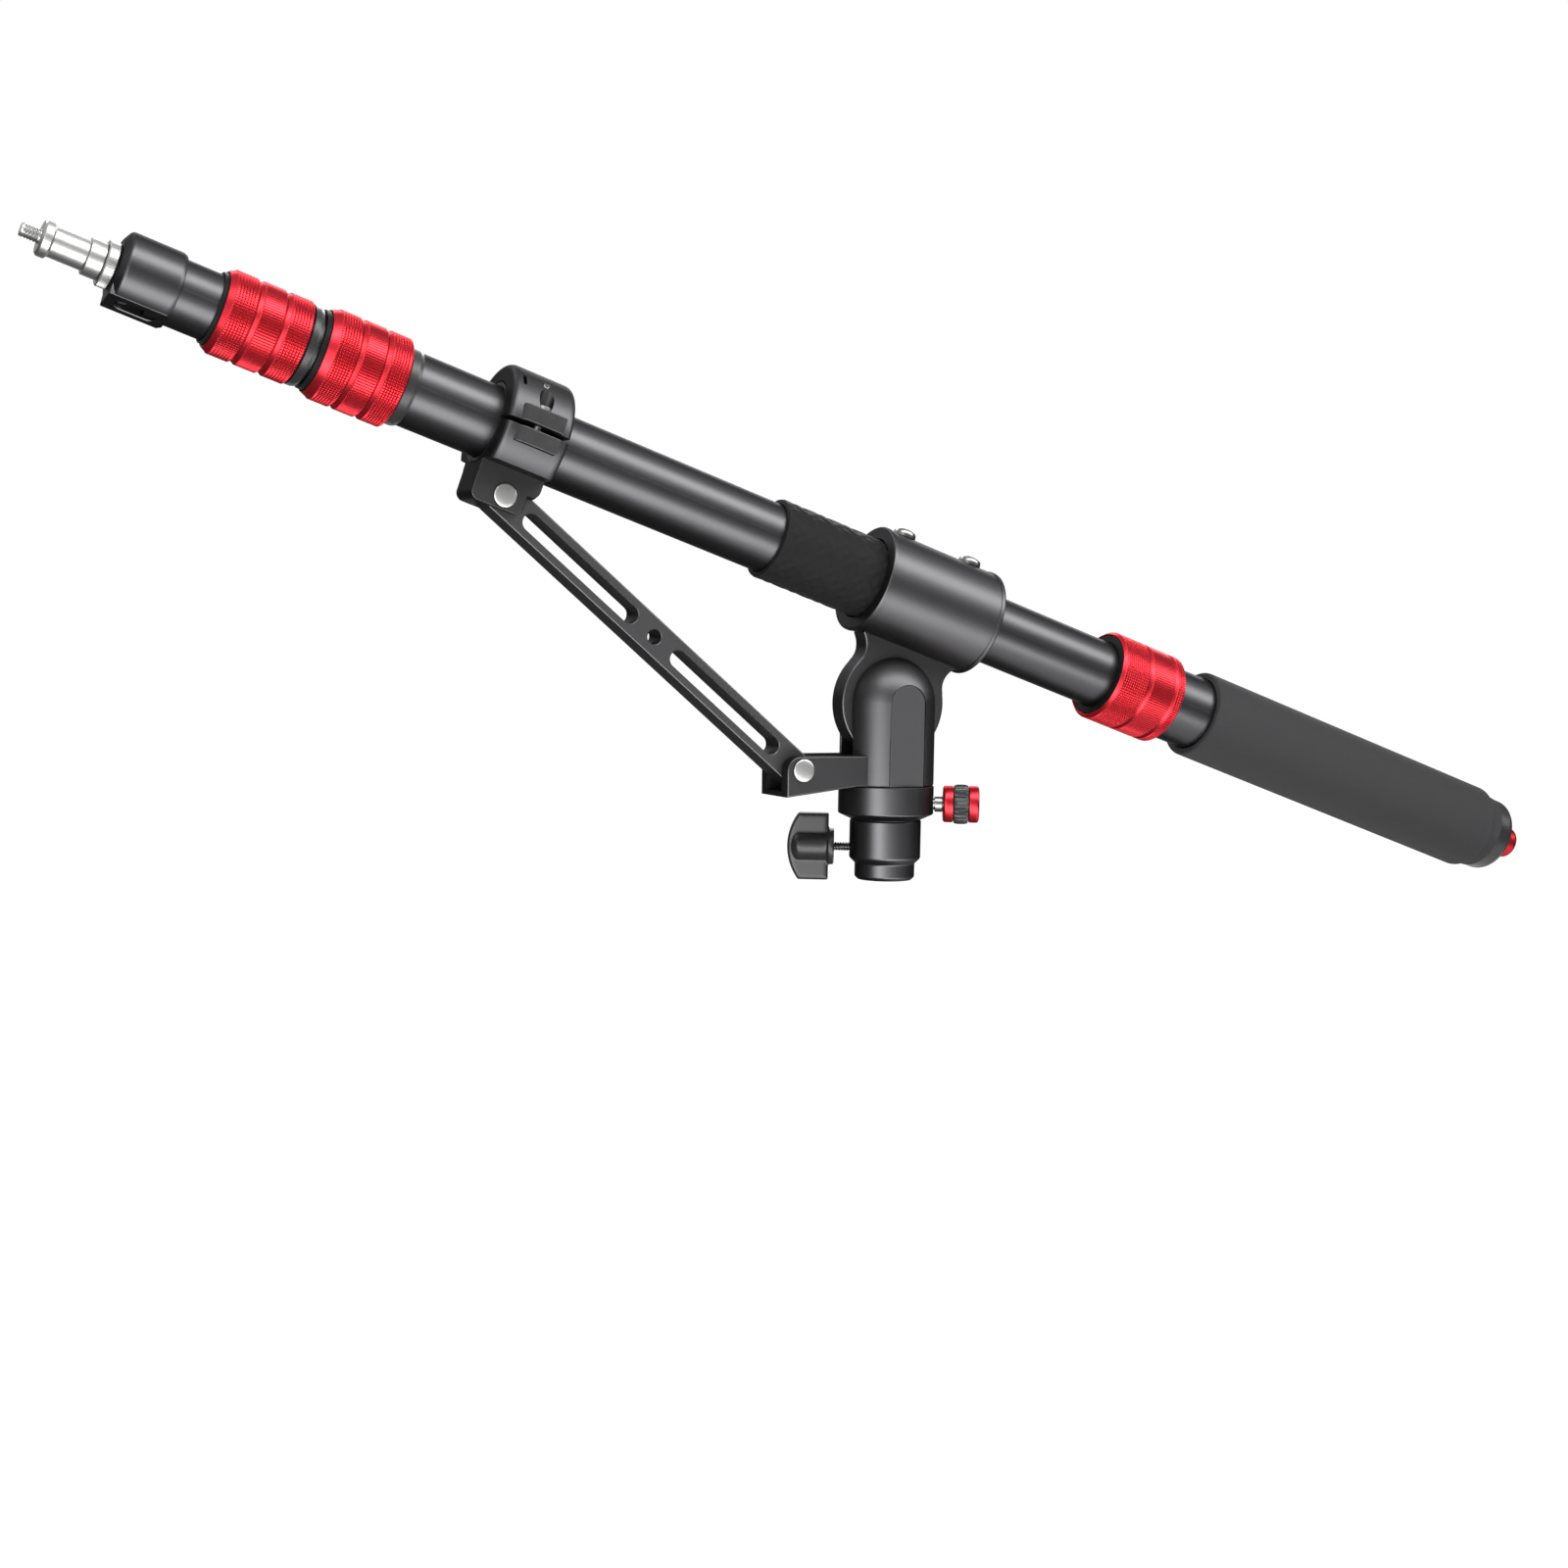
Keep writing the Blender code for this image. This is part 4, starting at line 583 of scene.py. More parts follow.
def turned_smooth(profile, steps=ROUND_LARGE, corner=EDGE_BREAK):
    """Turn a profile with its corners rounded."""
    return turned(break_corners(profile, is_hollow(profile), corner), steps)


print("A lathe with", ROUND_LARGE, "steps a turn")

# %% [markdown]
# Every finished piece takes the place of a CAD node. One helper sets its frame, its finish,
# the body that it moves with and the node that it stands for. The normals are weighted by
# face size, so that a flat face stays flat beside a small rounded edge.

# %% Stand a piece in for its CAD node
def make_object(name, bm):
    mesh = bpy.data.meshes.new(name)
    bm.to_mesh(mesh)
    bm.free()
    obj = bpy.data.objects.new(name, mesh)
    scene.collection.objects.link(obj)
    return obj


def set_finish(mesh, finish_name):
    mesh.materials.clear()
    mesh.materials.append(finishes[finish_name])


def stand_in(node, shape, axis, finish_name):
    """Finish a shape, a bmesh or an object in its axis frame, and let it replace a CAD node."""
    piece = shape if isinstance(shape, bpy.types.Object) else make_object(node + "_fine", shape)
    piece.name = node + "_fine"
    set_finish(piece.data, finish_name)
    piece.data.shade_smooth()
    piece.data.set_sharp_from_angle(angle=SHARP_ANGLE)
    weighted = piece.modifiers.new("weighted_normals", "WEIGHTED_NORMAL")
    weighted.keep_sharp = True
    piece.matrix_world = axis
    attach(piece, body_of_node[node])
    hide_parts(node)
    return piece


print("Helpers ready")

# %% [markdown]
# The boom is four aluminium tubes, each drawn to 0.75 mm wall, cut square and anodised black.
# Only their ends need care, where the cut edge is broken. Their stations and radii come from
# the CAD nodes.

# %% Tubes
TUBE_WALL = 0.75 * MM
HANDLE_BORE = 17.3 * MM

for node in ("main_tube", "mid_tube", "front_tube", "handle_tube"):
    low, high, radius = reach(node, TUBE)
    bore = HANDLE_BORE if node == "handle_tube" else radius - TUBE_WALL
    profile = [(radius, high), (radius, low), (bore, low), (bore, high)]
    stand_in(node, turned_smooth(profile), TUBE, "black_anodised")
    print(node, round(2 * radius / MM, 1), "mm across,", round((high - low) / MM, 1), "mm long")

# %% [markdown]
# The twist-lock collars are the arm's bright pieces. On the real one a bar of aluminium is
# turned with two V grooves, then a knurling wheel rolls a square grid into the first and last
# ridge, and straight teeth into the middle one, before it is dyed red. All of it is real
# geometry here: the points round a collar come in threes, a tooth's valley and its two
# shoulders, and the rows along a gridded ridge repeat the same rhythm.

# %% Knurled collars
KNURL_PITCH = 1.25 * MM
KNURL_DEPTH = 0.38 * MM
TOOTH = (0.0, 0.25, 0.75)
GROOVE_FRONT_SHARE = 0.4
MOUTH_DEPTH = 2.0 * MM
COLLARS = {
    "lock_collar_1": (sizes(mouth=16.5, bore=17.5, chamfer=3, drop=1.7, groove=3.3, depth=1.05),
                      (1, 1, 1)),
    "lock_collar_2": (sizes(mouth=18.5, bore=18.5, chamfer=4, drop=1.7, groove=3.2, depth=1.25),
                      (1, 1, 1)),
    "lock_collar_3": (sizes(mouth=21.1, bore=19.15, chamfer=1.8, drop=1.2, groove=2.9, depth=1.2),
                      (14.8, 12.5, 3.8)),
}


def tooth_angles(teeth):
    """Angles of the points round a toothed piece: each tooth's valley and its two shoulders."""
    return [math.tau * (tooth + share) / teeth for tooth in range(teeth) for share in TOOTH]


def ridge_rows(start, end, radius, gridded):
    """Rows of (radius, station, tooth depth) over one ridge, with run-outs at both ends."""
    rows = [(radius - KNURL_DEPTH, start - KNURL_DEPTH, 0), (radius, start, KNURL_DEPTH)]
    cells = round((end - start) / KNURL_PITCH) if gridded else 1
    step = (end - start) / cells
    for i in range(1, cells):
        valley = start + i * step
        rows += [(radius, valley - step * TOOTH[1], KNURL_DEPTH),
                 (radius - KNURL_DEPTH, valley, 0), (radius, valley + step * TOOTH[1], KNURL_DEPTH)]
    return rows + [(radius, end, KNURL_DEPTH), (radius - KNURL_DEPTH, end + KNURL_DEPTH, 0)]


def collar_rows(low, high, radius, c, ridges):
    """All rows round a collar: bore, mouth, front chamfer, ridges and grooves, rear edge."""
    e = EDGE_BREAK
    floor = radius - c.depth
    rows = [(c.bore, high - e, 0), (c.bore, low + MOUTH_DEPTH, 0),
            (c.mouth, low + MOUTH_DEPTH - e, 0), (c.mouth, low + e, 0), (c.mouth + e, low, 0),
            (radius - c.drop - e, low, 0), (radius - c.drop, low + e, 0)]
    room = high - low - c.chamfer - c.depth - 2 * c.groove
    start = low + c.chamfer
    for i, share in enumerate(ridges):
        end = start + room * share / sum(ridges)
        rows += ridge_rows(start, end, radius, gridded=i != 1)
        if i < 2:
            bottom = end + c.groove * GROOVE_FRONT_SHARE
            rows += [(floor + e / 3, bottom - e, 0), (floor, bottom, 0),
                     (floor + e / 3, bottom + e, 0)]
        start = end + c.groove
    return rows + [(floor, high - e, 0), (floor - e, high, 0), (c.bore + e, high, 0)]


def knurled_collar(node, collar, ridges):
    low, high, radius = reach(node, TUBE)
    rows = collar_rows(low, high, radius, collar, ridges)
    teeth = round(math.tau * radius / KNURL_PITCH)

    def relief(angle, row, column):
        return -rows[row][2] if column % len(TOOTH) == 0 else 0

    print(node, "has", teeth, "teeth round it and", len(rows), "rows along it")
    return turned([row[:2] for row in rows], relief=relief, angles=tooth_angles(teeth))


for node, (collar, ridges) in COLLARS.items():
    stand_in(node, knurled_collar(node, collar, ridges), TUBE, "red_anodised")

# %% [markdown]
# Under each collar a split bush grips the inner tube, and its nose shows as a black ring at
# the collar's mouth. Behind two of the collars a ferrule's shoulder closes the joint. These
# are plain turned mouldings, so their profiles are short.

# %% Bushes and ferrules
SLIDING_GAP = 0.3 * MM
FERRULE = sizes(chamfer=1.7, seat=1.7)
BUSHES = {"1": ("front_tube", 16.2 * MM, 17.2 * MM), "2": ("mid_tube", 18.2 * MM, 18.2 * MM),
          "3": ("main_tube", 20.8 * MM, 18.85 * MM)}
FERRULES = {"1": ("mid_tube", 17.2 * MM), "2": ("main_tube", 18.2 * MM)}

for number, (inner_tube, nose, body) in BUSHES.items():
    low, high, _ = reach(f"collar_{number}_bush", TUBE)
    bore = reach(inner_tube, TUBE)[2] + SLIDING_GAP
    mouth = reach(f"lock_collar_{number}", TUBE)[0] + MOUTH_DEPTH
    step = mouth + (SLIDING_GAP if nose < body else -SLIDING_GAP)
    profile = [(bore, low), (nose, low, 2 * EDGE_BREAK)]
    if nose != body:
        profile += [(nose, step), (body, step)]
    profile += [(body, high), (bore, high)]
    stand_in(f"collar_{number}_bush", turned_smooth(profile), TUBE, "dull_plastic")

for number, (outer_tube, thread) in FERRULES.items():
    low, high, radius = reach(f"ferrule_{number}", TUBE)
    shoulder = reach(f"lock_collar_{number}", TUBE)[1] + SLIDING_GAP
    bore = reach(outer_tube, TUBE)[2] + SLIDING_GAP
    lip = bore - SLIDING_GAP - TUBE_WALL
    seat = low + FERRULE.seat
    profile = [(radius - FERRULE.chamfer / 3, high), (radius, high - FERRULE.chamfer),
               (radius, shoulder), (thread, shoulder), (thread, low), (lip, low), (lip, seat),
               (bore, seat), (bore, high)]
    stand_in(f"ferrule_{number}", turned_smooth(profile), TUBE, "black_plastic")
print(len(BUSHES), "bushes and", len(FERRULES), "ferrules")

# %% [markdown]
# Cast and milled pieces begin as plates, blocks and turned blanks, which are joined and then
# cut. Every rim of a plate gets a small bevel, and every hole's tool widens at its mouth, so
# that the cut edge is broken too. Sharp edges don't exist on real parts, and the thin line of
# light along a broken edge is what makes a casting look solid.

# %% Plates, blocks and tools
GAP = 0.3 * MM
MOUTH = 0.35 * MM
BEVEL_STEPS = 3


def arc(cx, cz, radius, start, end, step=5):
    """Points on an arc. The angles are in degrees."""
    count = max(4, round(abs(end - start) / step))
    turns = [math.radians(start + (end - start) * i / count) for i in range(count + 1)]
    return [(cx + radius * math.cos(t), cz + radius * math.sin(t)) for t in turns]


def dome(radius, height, base, step=5):
    """Profile of a dome, from its top on the axis down to its rim."""
    rows = [(radius * x, base + height * z) for x, z in arc(0, 0, 1, 90, 0, step)]
    return [(0, rows[0][1])] + rows[1:]


def oblong(half_length, radius, cx=0.0, cz=0.0):
    """A slot's outline along X, with round ends."""
    right = arc(cx + half_length - radius, cz, radius, -90, 90)
    return right + arc(cx - half_length + radius, cz, radius, 90, 270)


def bevelled(bm, edges, size):
    if size:
        bmesh.ops.bevel(bm, geom=edges, offset=size, segments=BEVEL_STEPS, profile=0.5,
                        affect="EDGES")
    return bm


def plate(outline, low, high, bevel=0.0):
    """Extrude an outline of (x, z) points along Y, with both rims bevelled."""
    bm = grid_solid([[(x, y, z) for x, z in outline] for y in (low, high)])
    rims = [edge for edge in bm.edges if abs(edge.verts[0].co.y - edge.verts[1].co.y) < TINY]
    return bevelled(bm, rims, bevel)


def block(low, high, bevel=0.0):
    bm = bmesh.new()
    size = Matrix.Diagonal((*(Vector(high) - Vector(low)), 1))
    middle = Matrix.Translation((Vector(low) + Vector(high)) / 2)
    bmesh.ops.create_cube(bm, size=1, matrix=middle @ size)
    return bevelled(bm, bm.edges[:], bevel)


def rod(radius, low, high, steps=ROUND_SMALL):
    return turned([(0, low), (radius, low), (radius, high), (0, high)], steps)


def drill(radius, low, high, mouths=(True, True), steps=ROUND_SMALL):
    """Tool for a hole between two faces. It widens where it passes through a face."""
    wide = radius + MOUTH + MM
    start, end = [(0, low), (radius, low)], [(radius, high), (0, high)]
    if mouths[0]:
        start = [(0, low - MM), (wide, low - MM), (radius, low + MOUTH)]
    if mouths[1]:
        end = [(radius, high - MOUTH), (wide, high + MM), (0, high + MM)]
    return turned(start + end, steps)


def slot_mill(half_length, radius, low, high, cx=0.0, mouths=(True, True)):
    """Tool for a slot along X, cut along Y between two faces."""
    stops = [(low - MM, MOUTH + MM), (low + MOUTH, 0)] if mouths[0] else [(low, 0)]
    stops += [(high - MOUTH, 0), (high + MM, MOUTH + MM)] if mouths[1] else [(high, 0)]
    return grid_solid([[(x, y, z) for x, z in oblong(half_length + grow, radius + grow, cx)]
                       for y, grow in stops])


def moved(bm, matrix):
    bmesh.ops.transform(bm, matrix=matrix, verts=bm.verts)
    bmesh.ops.recalc_face_normals(bm, faces=bm.faces)
    return bm


def shift(x=0.0, y=0.0, z=0.0):
    return Matrix.Translation((x, y, z))


def spin(degrees, axis="Z"):
    return Matrix.Rotation(math.radians(degrees), 4, axis)


def along_y(x=0.0, z=0.0):
    """Frame that lays a turned piece along +Y through (x, z)."""
    return shift(x, 0, z) @ spin(-90, "X")


print("Tools ready")

# %% [markdown]
# Blender's exact boolean joins and cuts the shapes. It can leave points on top of each other
# and hair-thin slits between them, so each result is welded and closed before it is used.

# %% Join and cut
WELD = 2e-6


def close_slits(mesh):
    """Weld the points that cuts left on top of each other and fill the slits between them."""
    bm = bmesh.new()
    bm.from_mesh(mesh)
    bmesh.ops.remove_doubles(bm, verts=bm.verts, dist=WELD)
    bmesh.ops.dissolve_degenerate(bm, edges=bm.edges, dist=WELD)
    slits = [edge for edge in bm.edges if edge.is_boundary]
    bmesh.ops.holes_fill(bm, edges=slits, sides=0)
    bm.to_mesh(mesh)
    bm.free()


def combine(base, operation, tools):
    """Join tools to a shape, cut them out of it or keep what they share, all in one frame."""
    obj = base if isinstance(base, bpy.types.Object) else make_object("blank", base)
    helpers = [tool if isinstance(tool, bpy.types.Object) else make_object("tool", tool)
               for tool in tools]
    for helper in helpers:
        boolean = obj.modifiers.new("tool", "BOOLEAN")
        boolean.operation = operation
        boolean.solver = "EXACT"
        boolean.object = helper
    bpy.context.view_layer.update()
    graph = bpy.context.evaluated_depsgraph_get()
    mesh = bpy.data.meshes.new_from_object(obj.evaluated_get(graph))
    close_slits(mesh)
    obj.modifiers.clear()
    obj.data = mesh
    for helper in helpers:
        bpy.data.objects.remove(helper)
    return obj


def joined(base, *tools):
    return combine(base, "UNION", tools)


def cut(base, *tools):
    return combine(base, "DIFFERENCE", tools)


print("Joins weld points closer than", WELD / MM, "mm")

# %% [markdown]
# The hub at the front end holds the stud. Its underside carries a flat pad that runs out to
# the front face, with a long recess in it for the lock screw. The pad is turned a little
# towards the front of the arm.

# %% End hub
HUB = sizes(socket=10.0, front_r=12.5, front_chamfer=2.5, rear_chamfer=1.6, front_corner=1.4,
            rear_corner=0.8)
PAD = sizes(face=15.6, inner=10.0, half=7.5, edge=0.6, step=0.1)
PAD_TURN = 17.0
RECESS = sizes(half=9.0, radius=3.5, depth=4.0)
TAIL = sizes(r=5.0, length=12.0, corner=0.8)
HUB_SCREW = sizes(r=2.4, from_front=7.0, length=8.3, key_r=1.3, key=1.5)


def build_hub():
    front, rear, radius = reach("end_hub", TUBE)
    profile = [(0, rear), (radius - HUB.rear_chamfer / 2, rear),
               (radius, rear - HUB.rear_chamfer, HUB.rear_corner),
               (radius, front + HUB.front_chamfer, HUB.front_corner), (HUB.front_r, front, MM),
               (0, front)]
    tilt = spin(-PAD_TURN)
    facet = block((PAD.face - PAD.step, -PAD.half, front - MM), (2 * radius, PAD.half, rear + MM))
    pad = block((PAD.inner, -PAD.half, front), (PAD.face, PAD.half, rear - MM), PAD.edge)
    socket_r = reach("front_tube", TUBE)[2] + GAP
    socket = drill(socket_r, rear - HUB.socket, rear, (False, True), ROUND_LARGE)
    tail = drill(TAIL.r + GAP, front, front + TAIL.length, (True, False))
    stand = Matrix(((0, 1, 0), (0, 0, 1), (1, 0, 0))).to_4x4()
    recess = slot_mill(RECESS.half, RECESS.radius, PAD.face - RECESS.depth, PAD.face,
                       (front + rear) / 2, (False, True))
    screw_axis = shift(z=front + HUB_SCREW.from_front) @ spin(90, "Y")
    hole = rod(HUB_SCREW.r + GAP, TAIL.r / 2, radius)
    hub = cut(turned_smooth(profile), moved(facet, tilt))
    hub = joined(hub, moved(pad, tilt))
    hub = cut(hub, socket, tail, moved(recess, tilt @ stand), moved(hole, tilt @ screw_axis))
    stand_in("end_hub", hub, TUBE, "black_anodised")
    return TUBE @ tilt @ screw_axis


HUB_SCREW_AXIS = build_hub()
print("Hub with its pad and recess")

# %% [markdown]
# Bright screws catch the eye even when they are tiny. Each is a turned blank with a six-sided
# key recess. The same function makes the two button heads on the sleeve, the clamp's pinch
# screw and the two small set screws.

# %% Screws
KEY_SIDES = 6
BUTTON = sizes(step=39.0, seat=25.7, tip=17.3, head_r=5.75, head=4.0, crown_r=3.2, shank_r=2.5,
               key_r=2.0, key=2.4)


def key_screw(profile, key_radius, key_depth):
    """Screw turned from a profile, with a key recess in its top face."""
    top = max(row[1] for row in profile)
    key = rod(key_radius, top - key_depth, top + MM, KEY_SIDES)
    return cut(turned_smooth(profile, ROUND_SMALL), key)


def socket_screw(head_r, head_height, shank_r, shank_length, crown_r=None):
    """Profile of a screw whose head's seat is at station 0."""
    crown = [(head_r, head_height)]
    if crown_r:
        side = head_height / 4
        crown = [(crown_r, head_height)] + [
            (crown_r + (head_r - crown_r) * x, side + (head_height - side) * z)
            for x, z in arc(0, 0, 1, 80, 0, 12)]
    return [(0, head_height), *crown, (head_r, 0), (shank_r, 0), (shank_r, -shank_length),
            (0, -shank_length)]


def set_screw(radius, length, key_radius, key_depth):
    """Screw without a head, from its tip at station 0."""
    return key_screw([(0, length), (radius, length), (radius, 0), (0, 0)], key_radius, key_depth)


stand_in("hub_screw", set_screw(HUB_SCREW.r, HUB_SCREW.length, HUB_SCREW.key_r, HUB_SCREW.key),
         HUB_SCREW_AXIS @ shift(z=TAIL.r + GAP), "bright_steel")
button = socket_screw(BUTTON.head_r, BUTTON.head, BUTTON.shank_r, BUTTON.seat - BUTTON.tip,
                      BUTTON.crown_r)
for node, side in (("sleeve_screw_front", -1), ("sleeve_screw_rear", 1)):
    seat = shift(-BUTTON.seat, 0, side * BUTTON.step / 2) @ spin(-90, "Y")
    stand_in(node, key_screw(button, BUTTON.key_r, BUTTON.key), TUBE @ seat, "dark_steel")
print("Screws for the hub and the sleeve")

# %% [markdown]
# The stud screws into whatever the boom carries. Its tip has a quarter-inch thread, cut here
# as a true helix: each row of points is a little out of step with the row before. Behind the
# stud a ring with fine straight knurling locks it in the hub.

# %% Stud and its ring
THREAD_PITCH = 1.27 * MM
THREAD_DEPTH = 0.55 * MM
ROWS_PER_PITCH = 10
STUD_STEPS = 96
STUD = sizes(base=8.2, base_length=7.1, neck=6.75, neck_length=14.4, flange=8.0,
             flange_length=5.1, shoulder=7.0, thread=3.175, tip=2.675, chamfer=1.0)
RING_TEETH = 72
RING_TOOTH = 0.22 * MM
RING_EDGE = 0.5 * MM


def thread_profile(radius, low, high):
    """Rows along a thread, from its high end down to its tip."""
    count = round((high - low) / THREAD_PITCH * ROWS_PER_PITCH)
    return [(radius, high + (low - high) * i / count) for i in range(count + 1)]


def threaded(profile, thread_rows, low, high, steps=ROUND_SMALL):
    """Turn a profile, with a helical thread cut in the given range of rows."""
    def relief(angle, row, column):
        if row not in thread_rows:
            return 0
        station = profile[row][1]
        phase = (station / THREAD_PITCH - angle / math.tau) % 1
        run_out = min(1, (station - low) / THREAD_PITCH, (high - station) / THREAD_PITCH)
        return -THREAD_DEPTH * abs(2 * phase - 1) * max(0, run_out)
    return turned(profile, steps, relief)


tip, tail, _ = reach("stud", TUBE)
base = reach("stud_ring", TUBE)[0] - GAP
neck = base - STUD.base_length
flange = neck - STUD.neck_length
shoulder = flange - STUD.flange_length
body = break_corners([
    (0, tail), (TAIL.r, tail, TAIL.corner), (TAIL.r, base), (STUD.base, base),
    (STUD.base, neck + STUD.chamfer / 2), (STUD.neck, neck), (STUD.neck, flange),
    (STUD.flange, flange - STUD.chamfer), (STUD.flange, shoulder + STUD.chamfer),
    (STUD.shoulder, shoulder), (STUD.thread, shoulder), (STUD.thread, shoulder - GAP)], False)
rows = thread_profile(STUD.thread, tip + STUD.chamfer / 2, shoulder - GAP)[1:]
grooves = range(len(body), len(body) + len(rows))
stud = threaded(body + rows + [(STUD.tip, tip), (0, tip)], grooves, tip, shoulder, STUD_STEPS)
stand_in("stud", stud, TUBE, "bright_steel")

front, rear, radius = reach("stud_ring", TUBE)
bore = TAIL.r + GAP
profile = [(radius - RING_EDGE, rear), (radius, rear - RING_EDGE), (radius, front + RING_EDGE),
           (radius - RING_EDGE, front), (bore, front), (bore, rear)]


def ring_relief(angle, row, column):
    return -RING_TOOTH if row in (1, 2) and column % len(TOOTH) == 0 else 0


ring = turned(profile, relief=ring_relief, angles=tooth_angles(RING_TEETH))
stand_in("stud_ring", ring, TUBE, "bright_steel")
print("Stud with a", THREAD_PITCH / MM, "mm thread and a ring with", RING_TEETH, "teeth")

# %% [markdown]
# The clamp slides on the main tube and carries the strut. It is one casting: a ring with large
# round edges, a fork below it, and two square lugs at its split that a pinch screw draws
# together. The lugs' front ends are sloped. The screw's head sits in a round pocket over the
# upper lug.

# %% Clamp
RING = sizes(r=28.35, bore=19.3, edge=4.0)
STRUT_HALF = 7.5 * MM
FORK_HALF = STRUT_HALF + GAP
CHEEK_OUTER = FORK_HALF + 3.0 * MM
FORK = sizes(drop=29.8, bottom=36.3, behind=10.3, corner=4.0, shelf=17.6, web=3.0, bevel=0.7)
SPLIT = sizes(top=-1.9, bottom=0.5)
LUG = sizes(face=30.6, root=21.0, slope=2.6, half=10.0, top=-9.5, bottom=8.0, bevel=0.45)
JOIN = 0.05 * MM
PINCH = sizes(y=-24.0, seat=7.6, hole=2.3, pocket=3.6, head_r=3.3, head=3.5, shank_r=2.0,
              key_r=1.4, key=1.9)
TOP_SCREW = sizes(r=1.5, length=3.7, hole=1.8, hole_depth=4.3, sink=4.0, key_r=0.8, key=1.2)
TOP_SCREW_TURN = 39
NOTCH = sizes(half=3.2, radius=0.9, depth=2.4, inset=4.5)
NOTCH_TURN = 44
RIVET_R = 4.0 * MM

clamp_front, clamp_rear, _ = reach("clamp_body", TUBE)
CLAMP = TUBE @ shift(z=(clamp_front + clamp_rear) / 2)
clamp_half = (clamp_rear - clamp_front) / 2


def clamp_lug(top, bottom):
    """Lug outside the split, its front end sloped. Heights run down from the tube's axis."""
    outline = [(-LUG.half, LUG.root), (-LUG.half, LUG.face - LUG.slope),
               (-LUG.half + LUG.slope, LUG.face), (LUG.half, LUG.face), (LUG.half, LUG.root)]
    stand = Matrix(((0, 1, 0), (0, 0, -1), (1, 0, 0))).to_4x4()
    return moved(plate(outline, top, bottom, LUG.bevel), stand)


blank = turned_smooth([(0, clamp_half), (RING.r, clamp_half, RING.edge),
                       (RING.r, -clamp_half, RING.edge), (0, -clamp_half)])
fork = [(RING.bore, -clamp_half)]
fork += arc(FORK.bottom - FORK.corner, -clamp_half + FORK.corner, FORK.corner, -90, 0)
fork += arc(FORK.bottom - FORK.corner, FORK.behind - FORK.corner, FORK.corner, 0, 90)
fork += [(RING.bore, FORK.behind)]
far = 2 * RING.r
shelf = CHEEK_OUTER - JOIN
body = joined(blank, plate(fork, -CHEEK_OUTER, CHEEK_OUTER, FORK.bevel))
body = cut(body, block((FORK.shelf, -far, -far), (far, -shelf, far)),
           block((FORK.shelf, shelf, -far), (far, far, far)),
           drill(RING.bore, -clamp_half, clamp_half, steps=ROUND_LARGE),
           block((RING.bore / 2, -FORK_HALF, -clamp_half + FORK.web), (far, FORK_HALF, far)),
           block((SPLIT.top, -far, -far), (SPLIT.bottom, 0, far)))
body = joined(body, clamp_lug(LUG.top, SPLIT.top - JOIN),
              clamp_lug(SPLIT.bottom + JOIN, LUG.bottom))
pinch = shift(y=PINCH.y) @ spin(-90, "Y")
top = spin(TOP_SCREW_TURN) @ spin(-90, "Y")
notch = spin(NOTCH_TURN) @ shift(-RING.r, 0, -clamp_half + NOTCH.inset) @ spin(90)
screw_hole = drill(TOP_SCREW.hole, RING.r - TOP_SCREW.hole_depth, RING.r, (False, True))
notch_mill = slot_mill(NOTCH.half, NOTCH.radius, -NOTCH.depth, NOTCH.depth, 0, (False, False))
body = cut(body, moved(rod(PINCH.hole, -PINCH.seat, PINCH.seat + GAP), pinch),
           moved(rod(PINCH.pocket, PINCH.seat, RING.r), pinch), moved(screw_hole, top),
           moved(notch_mill, notch),
           moved(drill(RIVET_R + GAP, -CHEEK_OUTER, CHEEK_OUTER), along_y(FORK.drop)))
stand_in("clamp_body", body, CLAMP, "black_casting")
screw = socket_screw(PINCH.head_r, PINCH.head, PINCH.shank_r, 2 * PINCH.seat)
stand_in("clamp_screw", key_screw(screw, PINCH.key_r, PINCH.key),
         CLAMP @ pinch @ shift(z=PINCH.seat + GAP), "bright_steel")
stand_in("clamp_set_screw",
         set_screw(TOP_SCREW.r, TOP_SCREW.length, TOP_SCREW.key_r, TOP_SCREW.key),
         CLAMP @ top @ shift(z=RING.r - TOP_SCREW.sink), "bright_steel")
print("Clamp with its lugs and screws")

# %% [markdown]
# Four rivet heads show on the strut's fork and bracket. A rivet's head is a shallow dome with
# a short straight side. It was hammered rather than turned, so its edge is soft.

# %% Rivets
RIVET_HEAD = sizes(r=5.4, height=1.1, side=0.35)
BRACKET_HALF = 14.5 * MM
STRUT_PIVOT = Matrix.Translation(joints["strut_swing"]["pos_m"])


def rivet_head(seat):
    """Profile of a rivet's head, from the middle of its dome to its shank."""
    low = seat + GAP
    cap = dome(RIVET_HEAD.r, RIVET_HEAD.height - RIVET_HEAD.side, low + RIVET_HEAD.side, 6)
    return cap + [(RIVET_HEAD.r, low), (RIVET_R, low)]


half_rivet = rivet_head(CHEEK_OUTER) + [(RIVET_R, FORK_HALF), (0, FORK_HALF)]
head = rivet_head(BRACKET_HALF)
full_rivet = head + [(r, -z) for r, z in reversed(head)]
fork_axis = CLAMP @ along_y(FORK.drop)
for node, profile, axis in (("fork_rivet_far", half_rivet, fork_axis),
                            ("fork_rivet_near", half_rivet, fork_axis @ spin(180, "X")),
                            ("strut_lower_rivet", full_rivet, STRUT_PIVOT @ along_y())):
    stand_in(node, turned(profile, ROUND_SMALL), axis, "bright_steel")
print("Rivets with heads", round(2 * RIVET_HEAD.r / MM, 1), "mm across")

# %% [markdown]
# The strut is a bar with two long slots and a hole in its middle, milled from plate. It is
# drawn along X, then laid along the line between its two rivets, which the model's nodes give.

# %% Strut
STRUT = sizes(width=16.2, slot_half=36.0, slot_r=4.15, inset=14.0, hole=3.5, bevel=0.8)

